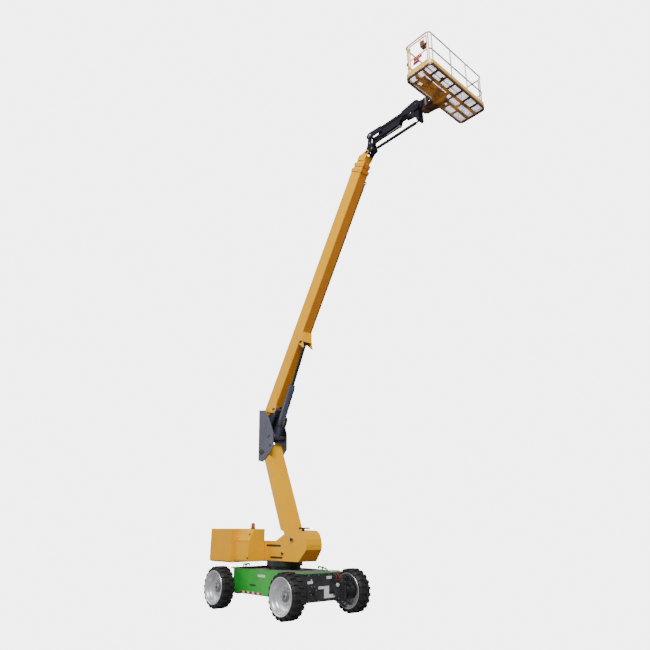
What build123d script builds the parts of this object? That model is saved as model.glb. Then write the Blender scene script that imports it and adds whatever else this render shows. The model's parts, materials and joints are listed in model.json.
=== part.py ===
from build123d import *
from math import atan2, cos, degrees, hypot, radians, sin
import os

# A self-propelled boom lift on four rubber tyres, with a folding riser, a three-section
# telescopic boom, a levelled jib and a work platform. All sizes are in millimetres.
# X points to the front of the chassis, Y to its left and Z up. The origin is on the
# ground under the slewing axis.

os.makedirs("parts", exist_ok=True)

# Running gear
tyre_radius = 535
tyre_width = 385
wheelbase = 2980
track = 2204
rim_radius = 384
rim_bore_radius = 350
rim_half_width = 182
hub_radius = 105
axle_z = tyre_radius
front_x = wheelbase / 2
rear_x = -wheelbase / 2
kingpin_y = 830
gearbox_radius = 190
steer_arm_length = 260
steer_arm_z = (372, 400)
tie_rod_z = 320
tie_rod_radius = 20
tread_base_radius = 505
lug_count = 20
lug_width = 62

# Chassis
frame_half = 540
frame_wall = 20
side_half = 730
side_rear_x = -1370
side_front_x = 860
side_bottom_z = 400
deck_bottom_z = 1000
deck_top_z = 1020
deck_front_half = 660
frame_front_x = 1600
frame_rear_x = -1640

# Slewing ring and turntable
bearing_radius = 430
bearing_bore = 300
ring_radius = 490
bearing_top_z = 1110
turntable_z = 1240
floor_thickness = 30
side_plate_out = 330
side_plate_in = 300
cheek_top_z = 1712
nose_tip_x = 1222
module_front_x = -500
module_rear_x = -1180
tail_half = 990
cover_half = 875
module_inner = 345
tail_right_top = 2050
tail_left_top = 1700
hood_wall = 12
hinge_barrel = 9
tail_x = -2400
tail_bottom_z = 1165
tail_slot_z = 1290
tail_corner = 190

# Riser and upright
riser_pivot = (686, 1783)
riser_base = (331, 1593)
riser_angle = 114.07
riser_half = 288
riser_depth = 238
riser_wall = 14
riser_head_s = 3020
riser_pin_radius = 50
upright_in = 296
upright_plate = 20
upright_pin = (-878, 4210)
boom_pin_radius = 50
lift_pin_radius = 45

# Telescopic boom
boom_angle = 59.73
boom_base = (-950, 4696)
boom_width = 316
boom_depth = 452
boom_wall = 8
boom_gap = 12
boom_corner = 28
boom_heel_s = 620
boom_pivot_sn = (881, 20)
lift_eye_sn = (3112, -110)
base_end_s = 8580
mid_heel_s = 1060
mid_end_s = 8760
fly_heel_s = 1260
fly_end_s = 9010
collar_length = 100
collar_height = 16
pad_length = 140
slide_gap = 0.5
pin_gap = 0.3

# Jib and platform
level_pivot = (3560, 12600)
jib_pin = (3690, 13110)
link_pin = (3745, 12640)
jib_reach = 1730
jib_rise = 10
jib_half_width = 80
jib_half_depth = 94
jib_fork_in = 118
jib_fork_out = 142
jib_base_in = 85
jib_base_plate = 22
jib_cylinder_pin = (3662, 12858)
rotator_x = 5700
rotator_radius = 95
rotator_z = 12929
floor_z = 12872
floor_height = 70
platform_rear_x = 5980
platform_front_x = 6810
platform_half = 1215
rail_height = 1110
rail_radius = 19


def side(x, z, angle=0.0):
    """A plane seen from the machine's right, its X axis turned up by an angle."""
    turn = radians(angle)
    return Plane(origin=(x, 0, z), x_dir=(cos(turn), 0, sin(turn)), z_dir=(0, -1, 0))


def across(x, z, angle, y=0.0):
    """A plane square to a member that runs at an angle, its X axis to the left."""
    turn = radians(angle)
    return Plane(origin=(x, y, z), x_dir=(0, 1, 0), z_dir=(cos(turn), 0, sin(turn)))


def along(start, angle, s, n):
    """The point s along a member from its start and n square to it."""
    turn = radians(angle)
    return (start[0] + s * cos(turn) - n * sin(turn), start[1] + s * sin(turn) + n * cos(turn))


def heading(start, end):
    return degrees(atan2(end[1] - start[1], end[0] - start[0]))


def distance(start, end):
    return hypot(end[0] - start[0], end[1] - start[1])


def save(piece, name):
    piece.part.label = name
    export_step(piece.part, f"parts/{name}.step")


def outline(plane, points, low, high, mode=Mode.ADD):
    """A plate with a straight-sided outline, between two heights over its plane."""
    with BuildSketch(plane.offset(low)) as face:
        with BuildLine():
            Polyline(*points, close=True)
        make_face()
    extrude(face.sketch, amount=high - low, mode=mode)


def hull(plane, circles, low, high, mode=Mode.ADD):
    """A plate whose outline is a belt round circles, each given as x, y and radius."""
    with BuildSketch(plane.offset(low)) as face:
        for x, y, radius in circles:
            with Locations((x, y)):
                Circle(radius)
        make_hull()
    extrude(face.sketch, amount=high - low, mode=mode)


def slot(plane, x, y, length, height, low, high, mode=Mode.SUBTRACT):
    """A straight slot with round ends, between two heights over its plane."""
    with BuildSketch(plane.offset(low)) as face:
        with Locations((x, y)):
            SlotOverall(length, height)
    extrude(face.sketch, amount=high - low, mode=mode)


def rod(plane, x, y, radius, low, high, mode=Mode.ADD):
    """A round bar square to a plane, between two heights over it."""
    with BuildSketch(plane.offset(low)) as face:
        with Locations((x, y)):
            Circle(radius)
    extrude(face.sketch, amount=high - low, mode=mode)


upright_side = side(0, 0)
ground = Plane.XY

# Chassis frame: a welded box, stepped up over the tie rod
frame_outline = (
    (frame_rear_x, deck_bottom_z),
    (frame_rear_x, 430),
    (-1560, 345),
    (-1350, 345),
    (-1300, side_bottom_z),
    (1150, side_bottom_z),
    (1180, 430),
    (1310, 430),
    (1340, 345),
    (1540, 345),
    (frame_front_x, 420),
    (frame_front_x, deck_bottom_z),
)
frame_cavity = (
    (frame_rear_x + 20, deck_bottom_z - 20),
    (frame_rear_x + 20, 445),
    (-1550, 370),
    (-1360, 370),
    (-1312, 425),
    (1142, 425),
    (1170, 452),
    (1320, 452),
    (1350, 370),
    (1530, 370),
    (frame_front_x - 25, 435),
    (frame_front_x - 25, deck_bottom_z - 20),
)
tow_lug_z = 520
with BuildPart() as chassis_frame:
    outline(upright_side, frame_outline, -frame_half, frame_half)
    outline(upright_side, frame_cavity, -frame_half + frame_wall, frame_half - frame_wall, Mode.SUBTRACT)
    for x in (-750, 750):
        for y in (-350, 350):
            rod(ground, x, y, 60, side_bottom_z - 10, side_bottom_z + 60, Mode.SUBTRACT)
    for x, tip in ((frame_front_x - 10, 75), (frame_rear_x + 10, -55)):
        for y in (-330, 330):
            hull(
                side(x, tow_lug_z),
                ((0, -50, 12), (0, 50, 12), (tip, 0, 34)),
                -y - 14,
                -y + 14,
            )
            rod(side(x, tow_lug_z), tip, 0, 20, -y - 30, -y + 30, Mode.SUBTRACT)
save(chassis_frame, "chassis_frame")

battery_z = 425
with BuildPart() as battery_pack:
    with BuildSketch(ground.offset(battery_z)):
        Rectangle(1500, 900)
    extrude(amount=430)
save(battery_pack, "battery_pack")

# Side panels: pans open towards the frame
for name, sign in (("side_panel_right", -1), ("side_panel_left", 1)):
    with BuildPart() as side_panel:
        with BuildSketch(Plane.XZ.offset(-sign * frame_half)):
            with BuildLine():
                Polyline(
                    (side_rear_x, side_bottom_z + 40),
                    (side_rear_x + 60, side_bottom_z),
                    (side_front_x - 60, side_bottom_z),
                    (side_front_x, side_bottom_z + 60),
                    (side_front_x, deck_bottom_z),
                    (side_rear_x, deck_bottom_z),
                    close=True,
                )
            make_face()
        extrude(amount=-sign * (side_half - frame_half))
        inner_face = side_panel.faces().sort_by(Axis.Y)[0 if sign > 0 else -1]
        offset(amount=-frame_wall / 2, openings=inner_face)
    save(side_panel, name)

with BuildPart() as chassis_deck:
    with BuildSketch(ground.offset(deck_bottom_z)):
        with BuildLine():
            Polyline(
                (frame_rear_x, -deck_front_half),
                (side_rear_x, -side_half),
                (side_front_x, -side_half),
                (side_front_x + 120, -deck_front_half),
                (frame_front_x, -deck_front_half),
                (frame_front_x, deck_front_half),
                (side_front_x + 120, deck_front_half),
                (side_front_x, side_half),
                (side_rear_x, side_half),
                (frame_rear_x, deck_front_half),
                close=True,
            )
        make_face()
    extrude(amount=deck_top_z - deck_bottom_z)
    for x, y, length, top in ((-1300, -370, 110, 1095), (1300, 210, 130, 1135)):
        with BuildSketch(ground.offset(deck_top_z)) as foot:
            with Locations((x, y)):
                Rectangle(40, length)
        extrude(foot.sketch, amount=18)
        with BuildSketch(ground.offset(deck_top_z)) as post:
            with Locations((x, y)):
                Rectangle(14, 40)
        extrude(post.sketch, amount=top - deck_top_z)
        with BuildSketch(ground.offset(top - 16)) as arm:
            with Locations((x, y)):
                Rectangle(44, length - 10)
        extrude(arm.sketch, amount=16)
save(chassis_deck, "chassis_deck")

# Axle ends: forks with kingpin bosses in front, fixed stubs behind
fork_half = 78
fork_low = (315, 365)
fork_high = (705, 755)
fork_root_y = 725
kingpin_radius = 30
with BuildPart() as front_axle:
    for sign in (-1, 1):
        with BuildSketch(ground.offset(fork_low[0])):
            with Locations((front_x, sign * (frame_half + fork_root_y) / 2)):
                Rectangle(2 * fork_half, fork_root_y - frame_half)
        extrude(amount=fork_high[1] - fork_low[0])
        for low, high in (fork_low, fork_high):
            with BuildSketch(ground.offset(low)):
                with Locations((front_x, sign * kingpin_y)):
                    Circle(62)
                with Locations((front_x, sign * (fork_root_y + kingpin_y) / 2)):
                    Rectangle(124, kingpin_y - fork_root_y)
            extrude(amount=high - low)
        rod(ground, front_x, sign * kingpin_y, kingpin_radius, fork_low[0] - 12, fork_high[1] + 12)
save(front_axle, "front_axle")

wheel_y = track / 2
stub_end_y = wheel_y - 20
with BuildPart() as rear_axle:
    for sign in (-1, 1):
        plane = Plane(origin=(rear_x, sign * frame_half, axle_z), x_dir=(1, 0, 0), z_dir=(0, sign, 0))
        rod(plane, 0, 0, 110, 0, 210)
        rod(plane, 0, 0, 140, 200, 340)
        rod(plane, 0, 0, gearbox_radius, 340, stub_end_y - frame_half)
save(rear_axle, "rear_axle")

# Steering knuckles with their wheel drives
knuckle_low = fork_low[1] + 5
knuckle_high = fork_high[0] - 5
for name, sign in (("knuckle_right", -1), ("knuckle_left", 1)):
    with BuildPart() as knuckle:
        rod(ground, front_x, sign * kingpin_y, 60, knuckle_low, knuckle_high)
        plane = Plane(origin=(front_x, sign * kingpin_y, axle_z), x_dir=(1, 0, 0), z_dir=(0, sign, 0))
        rod(plane, 0, 0, 110, 0, 80)
        rod(plane, 0, 0, gearbox_radius, 72, stub_end_y - kingpin_y)
        hull(
            ground,
            ((front_x, sign * kingpin_y, 36), (front_x - steer_arm_length, sign * kingpin_y, 27)),
            *steer_arm_z,
        )
        rod(ground, front_x, sign * kingpin_y, kingpin_radius + pin_gap, 300, 800, Mode.SUBTRACT)
        rod(ground, front_x - steer_arm_length, sign * kingpin_y, 12 + pin_gap, 300, 450, Mode.SUBTRACT)
    save(knuckle, name)

with BuildPart() as tie_rod:
    tie_x = front_x - steer_arm_length
    plane = Plane(origin=(tie_x, -kingpin_y, tie_rod_z), x_dir=(1, 0, 0), z_dir=(0, 1, 0))
    rod(plane, 0, 0, tie_rod_radius, 0, 2 * kingpin_y)
    for sign in (-1, 1):
        rod(ground, tie_x, sign * kingpin_y, 30, tie_rod_z - 20, tie_rod_z + 20)
        rod(ground, tie_x, sign * kingpin_y, 12, tie_rod_z, steer_arm_z[1] + 8)
save(tie_rod, "tie_rod")

# Wheels: a dished rim with its hub, and a tyre
wheel_places = (
    ("front_right", front_x, -1),
    ("front_left", front_x, 1),
    ("rear_right", rear_x, -1),
    ("rear_left", rear_x, 1),
)
for name, x, sign in wheel_places:
    wheel = Plane(origin=(x, sign * wheel_y, axle_z))
    spin = Axis((x, sign * wheel_y, axle_z), (0, 1, 0))
    with BuildPart() as rim:
        with BuildSketch(wheel):
            with BuildLine():
                Polyline(
                    (rim_radius, -sign * rim_half_width),
                    (rim_radius, -sign * (rim_half_width - 14)),
                    (rim_bore_radius + 18, -sign * (rim_half_width - 30)),
                    (rim_bore_radius + 18, sign * (rim_half_width - 30)),
                    (rim_radius, sign * (rim_half_width - 14)),
                    (rim_radius, sign * rim_half_width),
                    (rim_bore_radius + 6, sign * (rim_half_width - 10)),
                    (rim_bore_radius, sign * 100),
                    (rim_bore_radius - 14, sign * 60),
                    (240, sign * 34),
                    (hub_radius, sign * 34),
                    (hub_radius - 12, sign * 67),
                    (0, sign * 67),
                    (0, -sign * 19.5),
                    (hub_radius, -sign * 19.5),
                    (hub_radius, sign * 16),
                    (240, sign * 16),
                    (rim_bore_radius, sign * 40),
                    (rim_bore_radius, -sign * 100),
                    (rim_bore_radius + 6, -sign * (rim_half_width - 10)),
                    close=True,
                )
            make_face()
        revolve(axis=spin)
    save(rim, f"rim_{name}")

# Tyres: a carcass with two rows of lugs that run down the shoulders
tread_axis = Axis((0, 0, 0), (0, 1, 0))
lug_profile = (
    (tread_base_radius - 20, 6),
    (tyre_radius, 6),
    (tyre_radius, tyre_width / 2 - 42),
    (tyre_radius - 48, tyre_width / 2),
    (tyre_radius - 88, tyre_width / 2),
    (tyre_radius - 88, tyre_width / 2 - 30),
    (tread_base_radius - 20, tyre_width / 2 - 50),
)
with BuildPart() as tyre_form:
    with BuildSketch() as section:
        with BuildLine():
            Polyline(
                (rim_radius, -rim_half_width + 4),
                (rim_radius + 14, -tyre_width / 2 + 8),
                (tyre_radius - 95, -tyre_width / 2 + 2),
                (tyre_radius - 62, -tyre_width / 2 + 14),
                (tread_base_radius, -tyre_width / 2 + 50),
                (tread_base_radius, tyre_width / 2 - 50),
                (tyre_radius - 62, tyre_width / 2 - 14),
                (tyre_radius - 95, tyre_width / 2 - 2),
                (rim_radius + 14, tyre_width / 2 - 8),
                (rim_radius, rim_half_width - 4),
                (rim_radius, rim_half_width - 14),
                (rim_bore_radius + 18, rim_half_width - 30),
                (rim_bore_radius + 18, -rim_half_width + 30),
                (rim_radius, -rim_half_width + 14),
                close=True,
            )
        make_face()
    revolve(section.sketch, axis=tread_axis)
    for number in range(lug_count):
        for sign, shift in ((1, 0), (-1, 0.5)):
            turn = 90 + (number + shift) * 360 / lug_count
            lug_plane = Plane(
                origin=(0, 0, 0),
                x_dir=(cos(radians(turn)), 0, -sin(radians(turn))),
                z_dir=(-sign * sin(radians(turn)), 0, -sign * cos(radians(turn))),
            )
            outline(lug_plane, lug_profile, -lug_width / 2, lug_width / 2)
for name, x, sign in wheel_places:
    tyre = Pos(x, sign * wheel_y, axle_z) * tyre_form.part
    tyre.label = f"tyre_{name}"
    export_step(tyre, f"parts/tyre_{name}.step")

# Slewing ring: the fixed half on the deck, the turning half under the turntable
with BuildPart() as slew_bearing:
    rod(ground, 0, 0, bearing_radius, deck_top_z, bearing_top_z)
    rod(ground, 0, 0, bearing_bore, deck_top_z, bearing_top_z, Mode.SUBTRACT)
save(slew_bearing, "slew_bearing")

with BuildPart() as slew_ring:
    rod(ground, 0, 0, ring_radius, bearing_top_z + slide_gap, turntable_z)
    rod(ground, 0, 0, bearing_bore, bearing_top_z + slide_gap, turntable_z, Mode.SUBTRACT)
save(slew_ring, "slew_ring")

# Turntable: a folded nose with open top, side cheeks and trays for the covers
nose_outline = (
    (module_rear_x, turntable_z),
    (950, turntable_z),
    (1212, 1535),
    (nose_tip_x, 1660),
    (1190, 1800),
    (1110, 1930),
    (985, 2003),
    (560, 2018),
    (305, 1890),
    (-72, cheek_top_z),
    (module_rear_x, cheek_top_z),
)
nose_space = (
    (module_rear_x - 20, turntable_z + floor_thickness),
    (940, turntable_z + floor_thickness),
    (1194, 1545),
    (nose_tip_x - 18, 1655),
    (1174, 1790),
    (1098, 1915),
    (985, 1985),
    (450, 2000),
    (450, 2200),
    (module_rear_x - 20, 2200),
)
taper_start = 830
taper = 65
with BuildPart() as turntable_space:
    outline(upright_side, nose_space, -side_plate_in, side_plate_in)
    with BuildSketch(ground.offset(turntable_z)) as plan:
        with BuildLine():
            Polyline(
                (module_rear_x - 20, -side_plate_in),
                (taper_start, -side_plate_in),
                (nose_tip_x + 10, -side_plate_in + taper),
                (nose_tip_x + 10, side_plate_in - taper),
                (taper_start, side_plate_in),
                (module_rear_x - 20, side_plate_in),
                close=True,
            )
        make_face()
    extrude(plan.sketch, amount=1000, mode=Mode.INTERSECT)
riser_cylinder_pin = (305, 1433)
riser_lift_radius = 35
cheek_slots = ((-90, 1617, 650, 56), (40, 1318, 550, 52))
with BuildPart() as turntable_frame:
    outline(upright_side, nose_outline, -side_plate_out, side_plate_out)
    with BuildSketch(ground.offset(turntable_z)) as plan:
        with BuildLine():
            Polyline(
                (module_rear_x, -side_plate_out),
                (taper_start, -side_plate_out),
                (nose_tip_x + 10, -side_plate_out + taper),
                (nose_tip_x + 10, side_plate_out - taper),
                (taper_start, side_plate_out),
                (module_rear_x, side_plate_out),
                close=True,
            )
        make_face()
    extrude(plan.sketch, amount=1000, mode=Mode.INTERSECT)
    add(turntable_space.part, mode=Mode.SUBTRACT)
    with BuildSketch(ground.offset(turntable_z - 25)) as tray:
        with Locations(((module_front_x + module_rear_x) / 2, 0)):
            Rectangle(module_front_x - module_rear_x, 2 * cover_half - 20)
    extrude(tray.sketch, amount=25)
    for x, z, length, height in cheek_slots:
        slot(upright_side, x, z, length, height, -side_plate_out - 20, side_plate_out + 20)
    for low, high in ((-side_plate_out - 14, -side_plate_in), (side_plate_in, side_plate_out + 14)):
        rod(upright_side, *riser_pivot, 78, low, high)
        rod(upright_side, *riser_cylinder_pin, 55, low, high)
    rod(upright_side, *riser_pivot, riser_pin_radius, -side_plate_out - 26, side_plate_out + 26)
    rod(upright_side, *riser_cylinder_pin, riser_lift_radius, -side_plate_out - 22, side_plate_out + 22)
save(turntable_frame, "turntable_frame")

# Rest bar on the nose
rest_x = 1000
rest_z = (2046, 2084)
with BuildPart() as nose_rest:
    with BuildSketch(ground.offset(rest_z[0])) as bar:
        with Locations((rest_x, -165)):
            RectangleRounded(44, 360, 12)
    extrude(bar.sketch, amount=rest_z[1] - rest_z[0])
    with BuildSketch(ground.offset(rest_z[0] - 100)) as post:
        with Locations((rest_x, -200)):
            Rectangle(36, 70)
    extrude(post.sketch, amount=110)
    outline(upright_side, nose_outline, -side_plate_out, side_plate_out, Mode.SUBTRACT)
save(nose_rest, "nose_rest")

# Counterweight: one casting with a slot for the folded upright
tail_length = module_rear_x - tail_x
tail_middle = (tail_x + module_rear_x) / 2
with BuildPart() as counterweight:
    with BuildSketch(ground.offset(tail_bottom_z)):
        with Locations((tail_middle, 0)):
            tail_plan = Rectangle(tail_length, 2 * tail_half)
        fillet(tail_plan.vertices().group_by(Axis.X)[0], tail_corner)
    extrude(amount=tail_right_top - tail_bottom_z)
    chamfer(counterweight.faces().sort_by(Axis.Z)[0].edges().sort_by(Axis.X)[0:3], 35)
    with BuildSketch(ground.offset(tail_slot_z)) as tail_slot:
        with Locations((tail_middle, 0)):
            Rectangle(tail_length + 40, 2 * module_inner)
    extrude(tail_slot.sketch, amount=1000, mode=Mode.SUBTRACT)
    with BuildSketch(ground.offset(tail_left_top)) as left_cut:
        with Locations((tail_middle, tail_half)):
            Rectangle(tail_length + 40, 2 * (tail_half - module_inner) + 20)
    extrude(left_cut.sketch, amount=1000, mode=Mode.SUBTRACT)
    for y, top in ((-660, tail_right_top), (660, tail_left_top)):
        for x in (tail_x + 300, module_rear_x - 300):
            rod(ground, x, y, 32, top - 90, top + 10, Mode.SUBTRACT)
save(counterweight, "counterweight")

# Covers: hollow boxes with a sloped shoulder, open outwards, each closed by a lift-up door
door_thickness = 10
hinge_z_over_wall = 9
module_length = module_front_x - module_rear_x
module_middle = (module_front_x + module_rear_x) / 2
cover_wall_y = cover_half - door_thickness - slide_gap
cover_sides = (
    # name, side, top of the outer wall, top of the cover, y of the shoulder's upper edge
    ("right", -1, 1730, 2045, 700),
    ("left", 1, 1560, 1700, 790),
)
for name, sign, wall_top, cover_top, shoulder_y in cover_sides:
    profile = Plane(origin=(module_rear_x, 0, 0), x_dir=(0, sign, 0), z_dir=(sign, 0, 0))
    start, end = (0, module_length) if sign > 0 else (-module_length, 0)
    with BuildPart() as cover:
        outline(
            profile,
            (
                (module_inner, turntable_z),
                (cover_wall_y, turntable_z),
                (cover_wall_y, wall_top),
                (shoulder_y, cover_top),
                (module_inner, cover_top),
            ),
            start,
            end,
        )
        outline(
            profile,
            (
                (module_inner + hood_wall, turntable_z + hood_wall),
                (cover_wall_y + 10, turntable_z + hood_wall),
                (cover_wall_y + 10, wall_top - hood_wall - 8),
                (cover_wall_y - 8, wall_top - hood_wall),
                (shoulder_y - 8, cover_top - hood_wall),
                (module_inner + hood_wall, cover_top - hood_wall),
            ),
            start + hood_wall,
            end - hood_wall,
            Mode.SUBTRACT,
        )
        hinge = Plane(
            origin=(module_rear_x, sign * cover_half, wall_top + hinge_z_over_wall),
            x_dir=(0, 1, 0),
            z_dir=(1, 0, 0),
        )
        for low in (20, module_length - 140):
            rod(hinge, 0, 0, hinge_barrel, low, low + 120)
            with BuildSketch(ground.offset(wall_top + 2)) as leaf:
                with Locations((module_rear_x + low + 60, sign * (cover_half - 13))):
                    Rectangle(120, 26)
            extrude(leaf.sketch, amount=12)
        rod(hinge, 0, 0, 4 + pin_gap, 10, module_length - 10, Mode.SUBTRACT)
    save(cover, f"cover_{name}")
    with BuildPart() as door:
        with BuildSketch(ground.offset(turntable_z + 5)) as panel:
            with Locations((module_middle, sign * (cover_half - door_thickness / 2))):
                Rectangle(module_length - 6, door_thickness)
        extrude(panel.sketch, amount=wall_top - turntable_z - 8)
        with BuildSketch(ground.offset(wall_top - 10)) as leaf:
            with Locations((module_middle, sign * (cover_half - 4.5))):
                Rectangle(module_length - 300, 9)
        extrude(leaf.sketch, amount=17)
        rod(hinge, 0, 0, hinge_barrel, 145, module_length - 145)
        rod(hinge, 0, 0, 4, 22, module_length - 22)
    save(door, f"door_{name}")

for name, y, height in (("hydraulic_unit", -600, 420), ("power_unit", 600, 240)):
    with BuildPart() as unit:
        with BuildSketch(ground.offset(turntable_z + hood_wall)):
            with Locations((module_middle, y)):
                Rectangle(440, 380)
        extrude(amount=height)
    save(unit, name)

beacon_place = (-900, -470)
with BuildPart() as beacon:
    rod(ground, *beacon_place, 55, 2045, 2072)
    rod(ground, *beacon_place, 44, 2072, 2170)
    rod(ground, *beacon_place, 34, 2170, 2205)
save(beacon, "beacon")

# Riser: a box column, open behind at its foot, with cheeks at the foot and ears at the head
riser_plane = Plane(
    origin=(riser_base[0], 0, riser_base[1]),
    x_dir=(cos(radians(riser_angle)), 0, sin(radians(riser_angle))),
    z_dir=(0, 1, 0),
)


def in_riser(point):
    """A point of the machine's side view as seen from the riser's foot."""
    x, z = point[0] - riser_base[0], point[1] - riser_base[1]
    turn = radians(riser_angle)
    return (x * cos(turn) + z * sin(turn), x * sin(turn) - z * cos(turn))


pivot_s, pivot_t = in_riser(riser_pivot)
head_s, head_t = in_riser(upright_pin)
riser_eye_st = (1300, 119)
riser_eye = (
    riser_base[0] + riser_eye_st[0] * cos(radians(riser_angle)) + riser_eye_st[1] * sin(radians(riser_angle)),
    riser_base[1] + riser_eye_st[0] * sin(radians(riser_angle)) - riser_eye_st[1] * cos(radians(riser_angle)),
)
riser_inner = riser_half - riser_wall
with BuildPart() as riser:
    outline(
        riser_plane,
        (
            (470, 0),
            (390, 90),
            (200, 200),
            (330, riser_depth),
            (riser_head_s, riser_depth),
            (riser_head_s, 60),
            (riser_head_s - 40, 0),
        ),
        -riser_half,
        riser_half,
    )
    hull(
        riser_plane,
        ((pivot_s, pivot_t, 120), (230, 210, 50), (330, 160, 60)),
        -riser_half,
        riser_half,
    )
    hull(riser_plane, ((head_s, head_t, 80), (2700, 90, 80), (2930, 100, 70)), -riser_half, riser_half)
    outline(
        riser_plane,
        (
            (-300, -300),
            (450, -300),
            (450, riser_wall),
            (2960, riser_wall),
            (2960, riser_depth - riser_wall),
            (330, riser_depth - riser_wall),
            (320, 700),
            (-300, 700),
        ),
        -riser_inner + 20,
        riser_inner - 20,
        Mode.SUBTRACT,
    )
    outline(
        riser_plane,
        ((400, -200), (1190, -200), (1190, 60), (400, 60)),
        -120,
        120,
        Mode.SUBTRACT,
    )
    rod(riser_plane, pivot_s, pivot_t, 85, -riser_half, riser_half)
    rod(riser_plane, pivot_s, pivot_t, riser_pin_radius + pin_gap, -400, 400, Mode.SUBTRACT)
    rod(riser_plane, head_s, head_t, riser_pin_radius + pin_gap, -400, 400, Mode.SUBTRACT)
    for low, high in ((-125, -95), (95, 125)):
        hull(
            riser_plane,
            ((*riser_eye_st, 45), (1240, 225, 12), (1360, 225, 12)),
            low,
            high,
        )
save(riser, "riser")

# Riser lift cylinder, closed in by the riser


def build_cylinder(
    name, start, end, eye_radius, eye_half, pin_radius, tube_radius, tube_end, rod_radius, stroke
):
    """A barrel on its lower pin and a rod whose eye carries a short pin."""
    angle = heading(start, end)
    length = distance(start, end)
    plane = side(*start, angle)
    line = across(*start, angle)
    with BuildPart() as barrel:
        rod(plane, 0, 0, eye_radius, -eye_half, eye_half)
        rod(line, 0, 0, tube_radius, 20, tube_end)
        rod(line, 0, 0, tube_radius + 10, tube_end - 60, tube_end)
        rod(line, 0, 0, tube_radius - 12, eye_radius + 25, tube_end - 60, Mode.SUBTRACT)
        rod(line, 0, 0, rod_radius + pin_gap, tube_end - 70, tube_end + 10, Mode.SUBTRACT)
        rod(plane, 0, 0, pin_radius + pin_gap, -eye_half - 10, eye_half + 10, Mode.SUBTRACT)
    save(barrel, f"{name}_barrel")
    piston = eye_radius + 25 + stroke + 12
    with BuildPart() as ram:
        rod(line, 0, 0, rod_radius, piston, length)
        rod(line, 0, 0, tube_radius - 12 - pin_gap, piston, piston + 50)
        rod(plane, length, 0, rod_radius + 16, -eye_half, eye_half)
        rod(plane, length, 0, pin_radius, -eye_half - 14, eye_half + 14)
    save(ram, f"{name}_rod")


build_cylinder("riser_cylinder", riser_cylinder_pin, riser_eye, 52, 60, riser_lift_radius, 62, 820, 36, 520)

# Upright: two cheek plates carried on the riser's head, with the pins of boom and cylinder
upright_plates = (
    # low and high over the side plane, then the plate's outline
    (
        upright_in,
        upright_in + upright_plate,
        (
            (-1070, 5496),
            (-792, 5455),
            (-585, 5235),
            (-318, 4743),
            (-292, 4294),
            (-782, 3909),
            (-1002, 3968),
        ),
    ),
    (
        -upright_in - upright_plate,
        -upright_in,
        (
            (-1070, 5496),
            (-792, 5455),
            (-640, 5235),
            (-450, 4743),
            (-430, 4294),
            (-782, 3909),
            (-1002, 3968),
        ),
    ),
)
boom_pivot = along(boom_base, boom_angle, *boom_pivot_sn)
lift_pin = (-550, 4650)
lug_in = 98
lug_out = 144
with BuildPart() as upright:
    for low, high, points in upright_plates:
        outline(upright_side, points, low, high)
    outline(
        upright_side,
        ((-1066, 5430), (-1027, 4560), (-1007, 4560), (-1046, 5430)),
        -upright_in,
        upright_in,
    )
    for low, high in ((-lug_out, -lug_in), (lug_in, lug_out)):
        hull(
            upright_side,
            ((*boom_pivot, 92), (-1005, 5260, 26), (-975, 4820, 26), (-800, 4900, 60)),
            low,
            high,
        )
        rod(upright_side, *lift_pin, 66, low, high)
        hull(upright_side, ((*lift_pin, 66), (-800, 4900, 60), (-960, 4720, 26)), low, high)
    for low, high in ((-upright_in, -lug_out), (lug_out, upright_in)):
        rod(upright_side, *lift_pin, 62, low, high)
    for pin, radius, reach in (
        (boom_pivot, boom_pin_radius, boom_width / 2 + 34),
        (upright_pin, riser_pin_radius, upright_in + upright_plate + 16),
        (lift_pin, lift_pin_radius, upright_in + upright_plate + 14),
    ):
        rod(upright_side, *pin, radius, -reach, reach)
save(upright, "upright")

# Main lift cylinder
lift_eye = along(boom_base, boom_angle, *lift_eye_sn)
build_cylinder("lift_cylinder", lift_pin, lift_eye, 76, 90, lift_pin_radius, 80, 1634, 50, 620)

# Telescopic boom: three nested box sections, each with a heel, wear pads and a collar
boom_plane = side(*boom_base, boom_angle)


def boom_tube(start_s, end_s, width, depth, corner):
    """A rounded box section square to the boom, centred on its depth."""
    origin = along(boom_base, boom_angle, start_s, boom_depth / 2)
    with BuildSketch(across(*origin, boom_angle)) as face:
        RectangleRounded(width, depth, corner)
    extrude(face.sketch, amount=end_s - start_s)


def boom_bore(start_s, end_s, width, depth, corner):
    origin = along(boom_base, boom_angle, start_s, boom_depth / 2)
    with BuildSketch(across(*origin, boom_angle)) as face:
        RectangleRounded(width, depth, corner)
    extrude(face.sketch, amount=end_s - start_s, mode=Mode.SUBTRACT)


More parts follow.
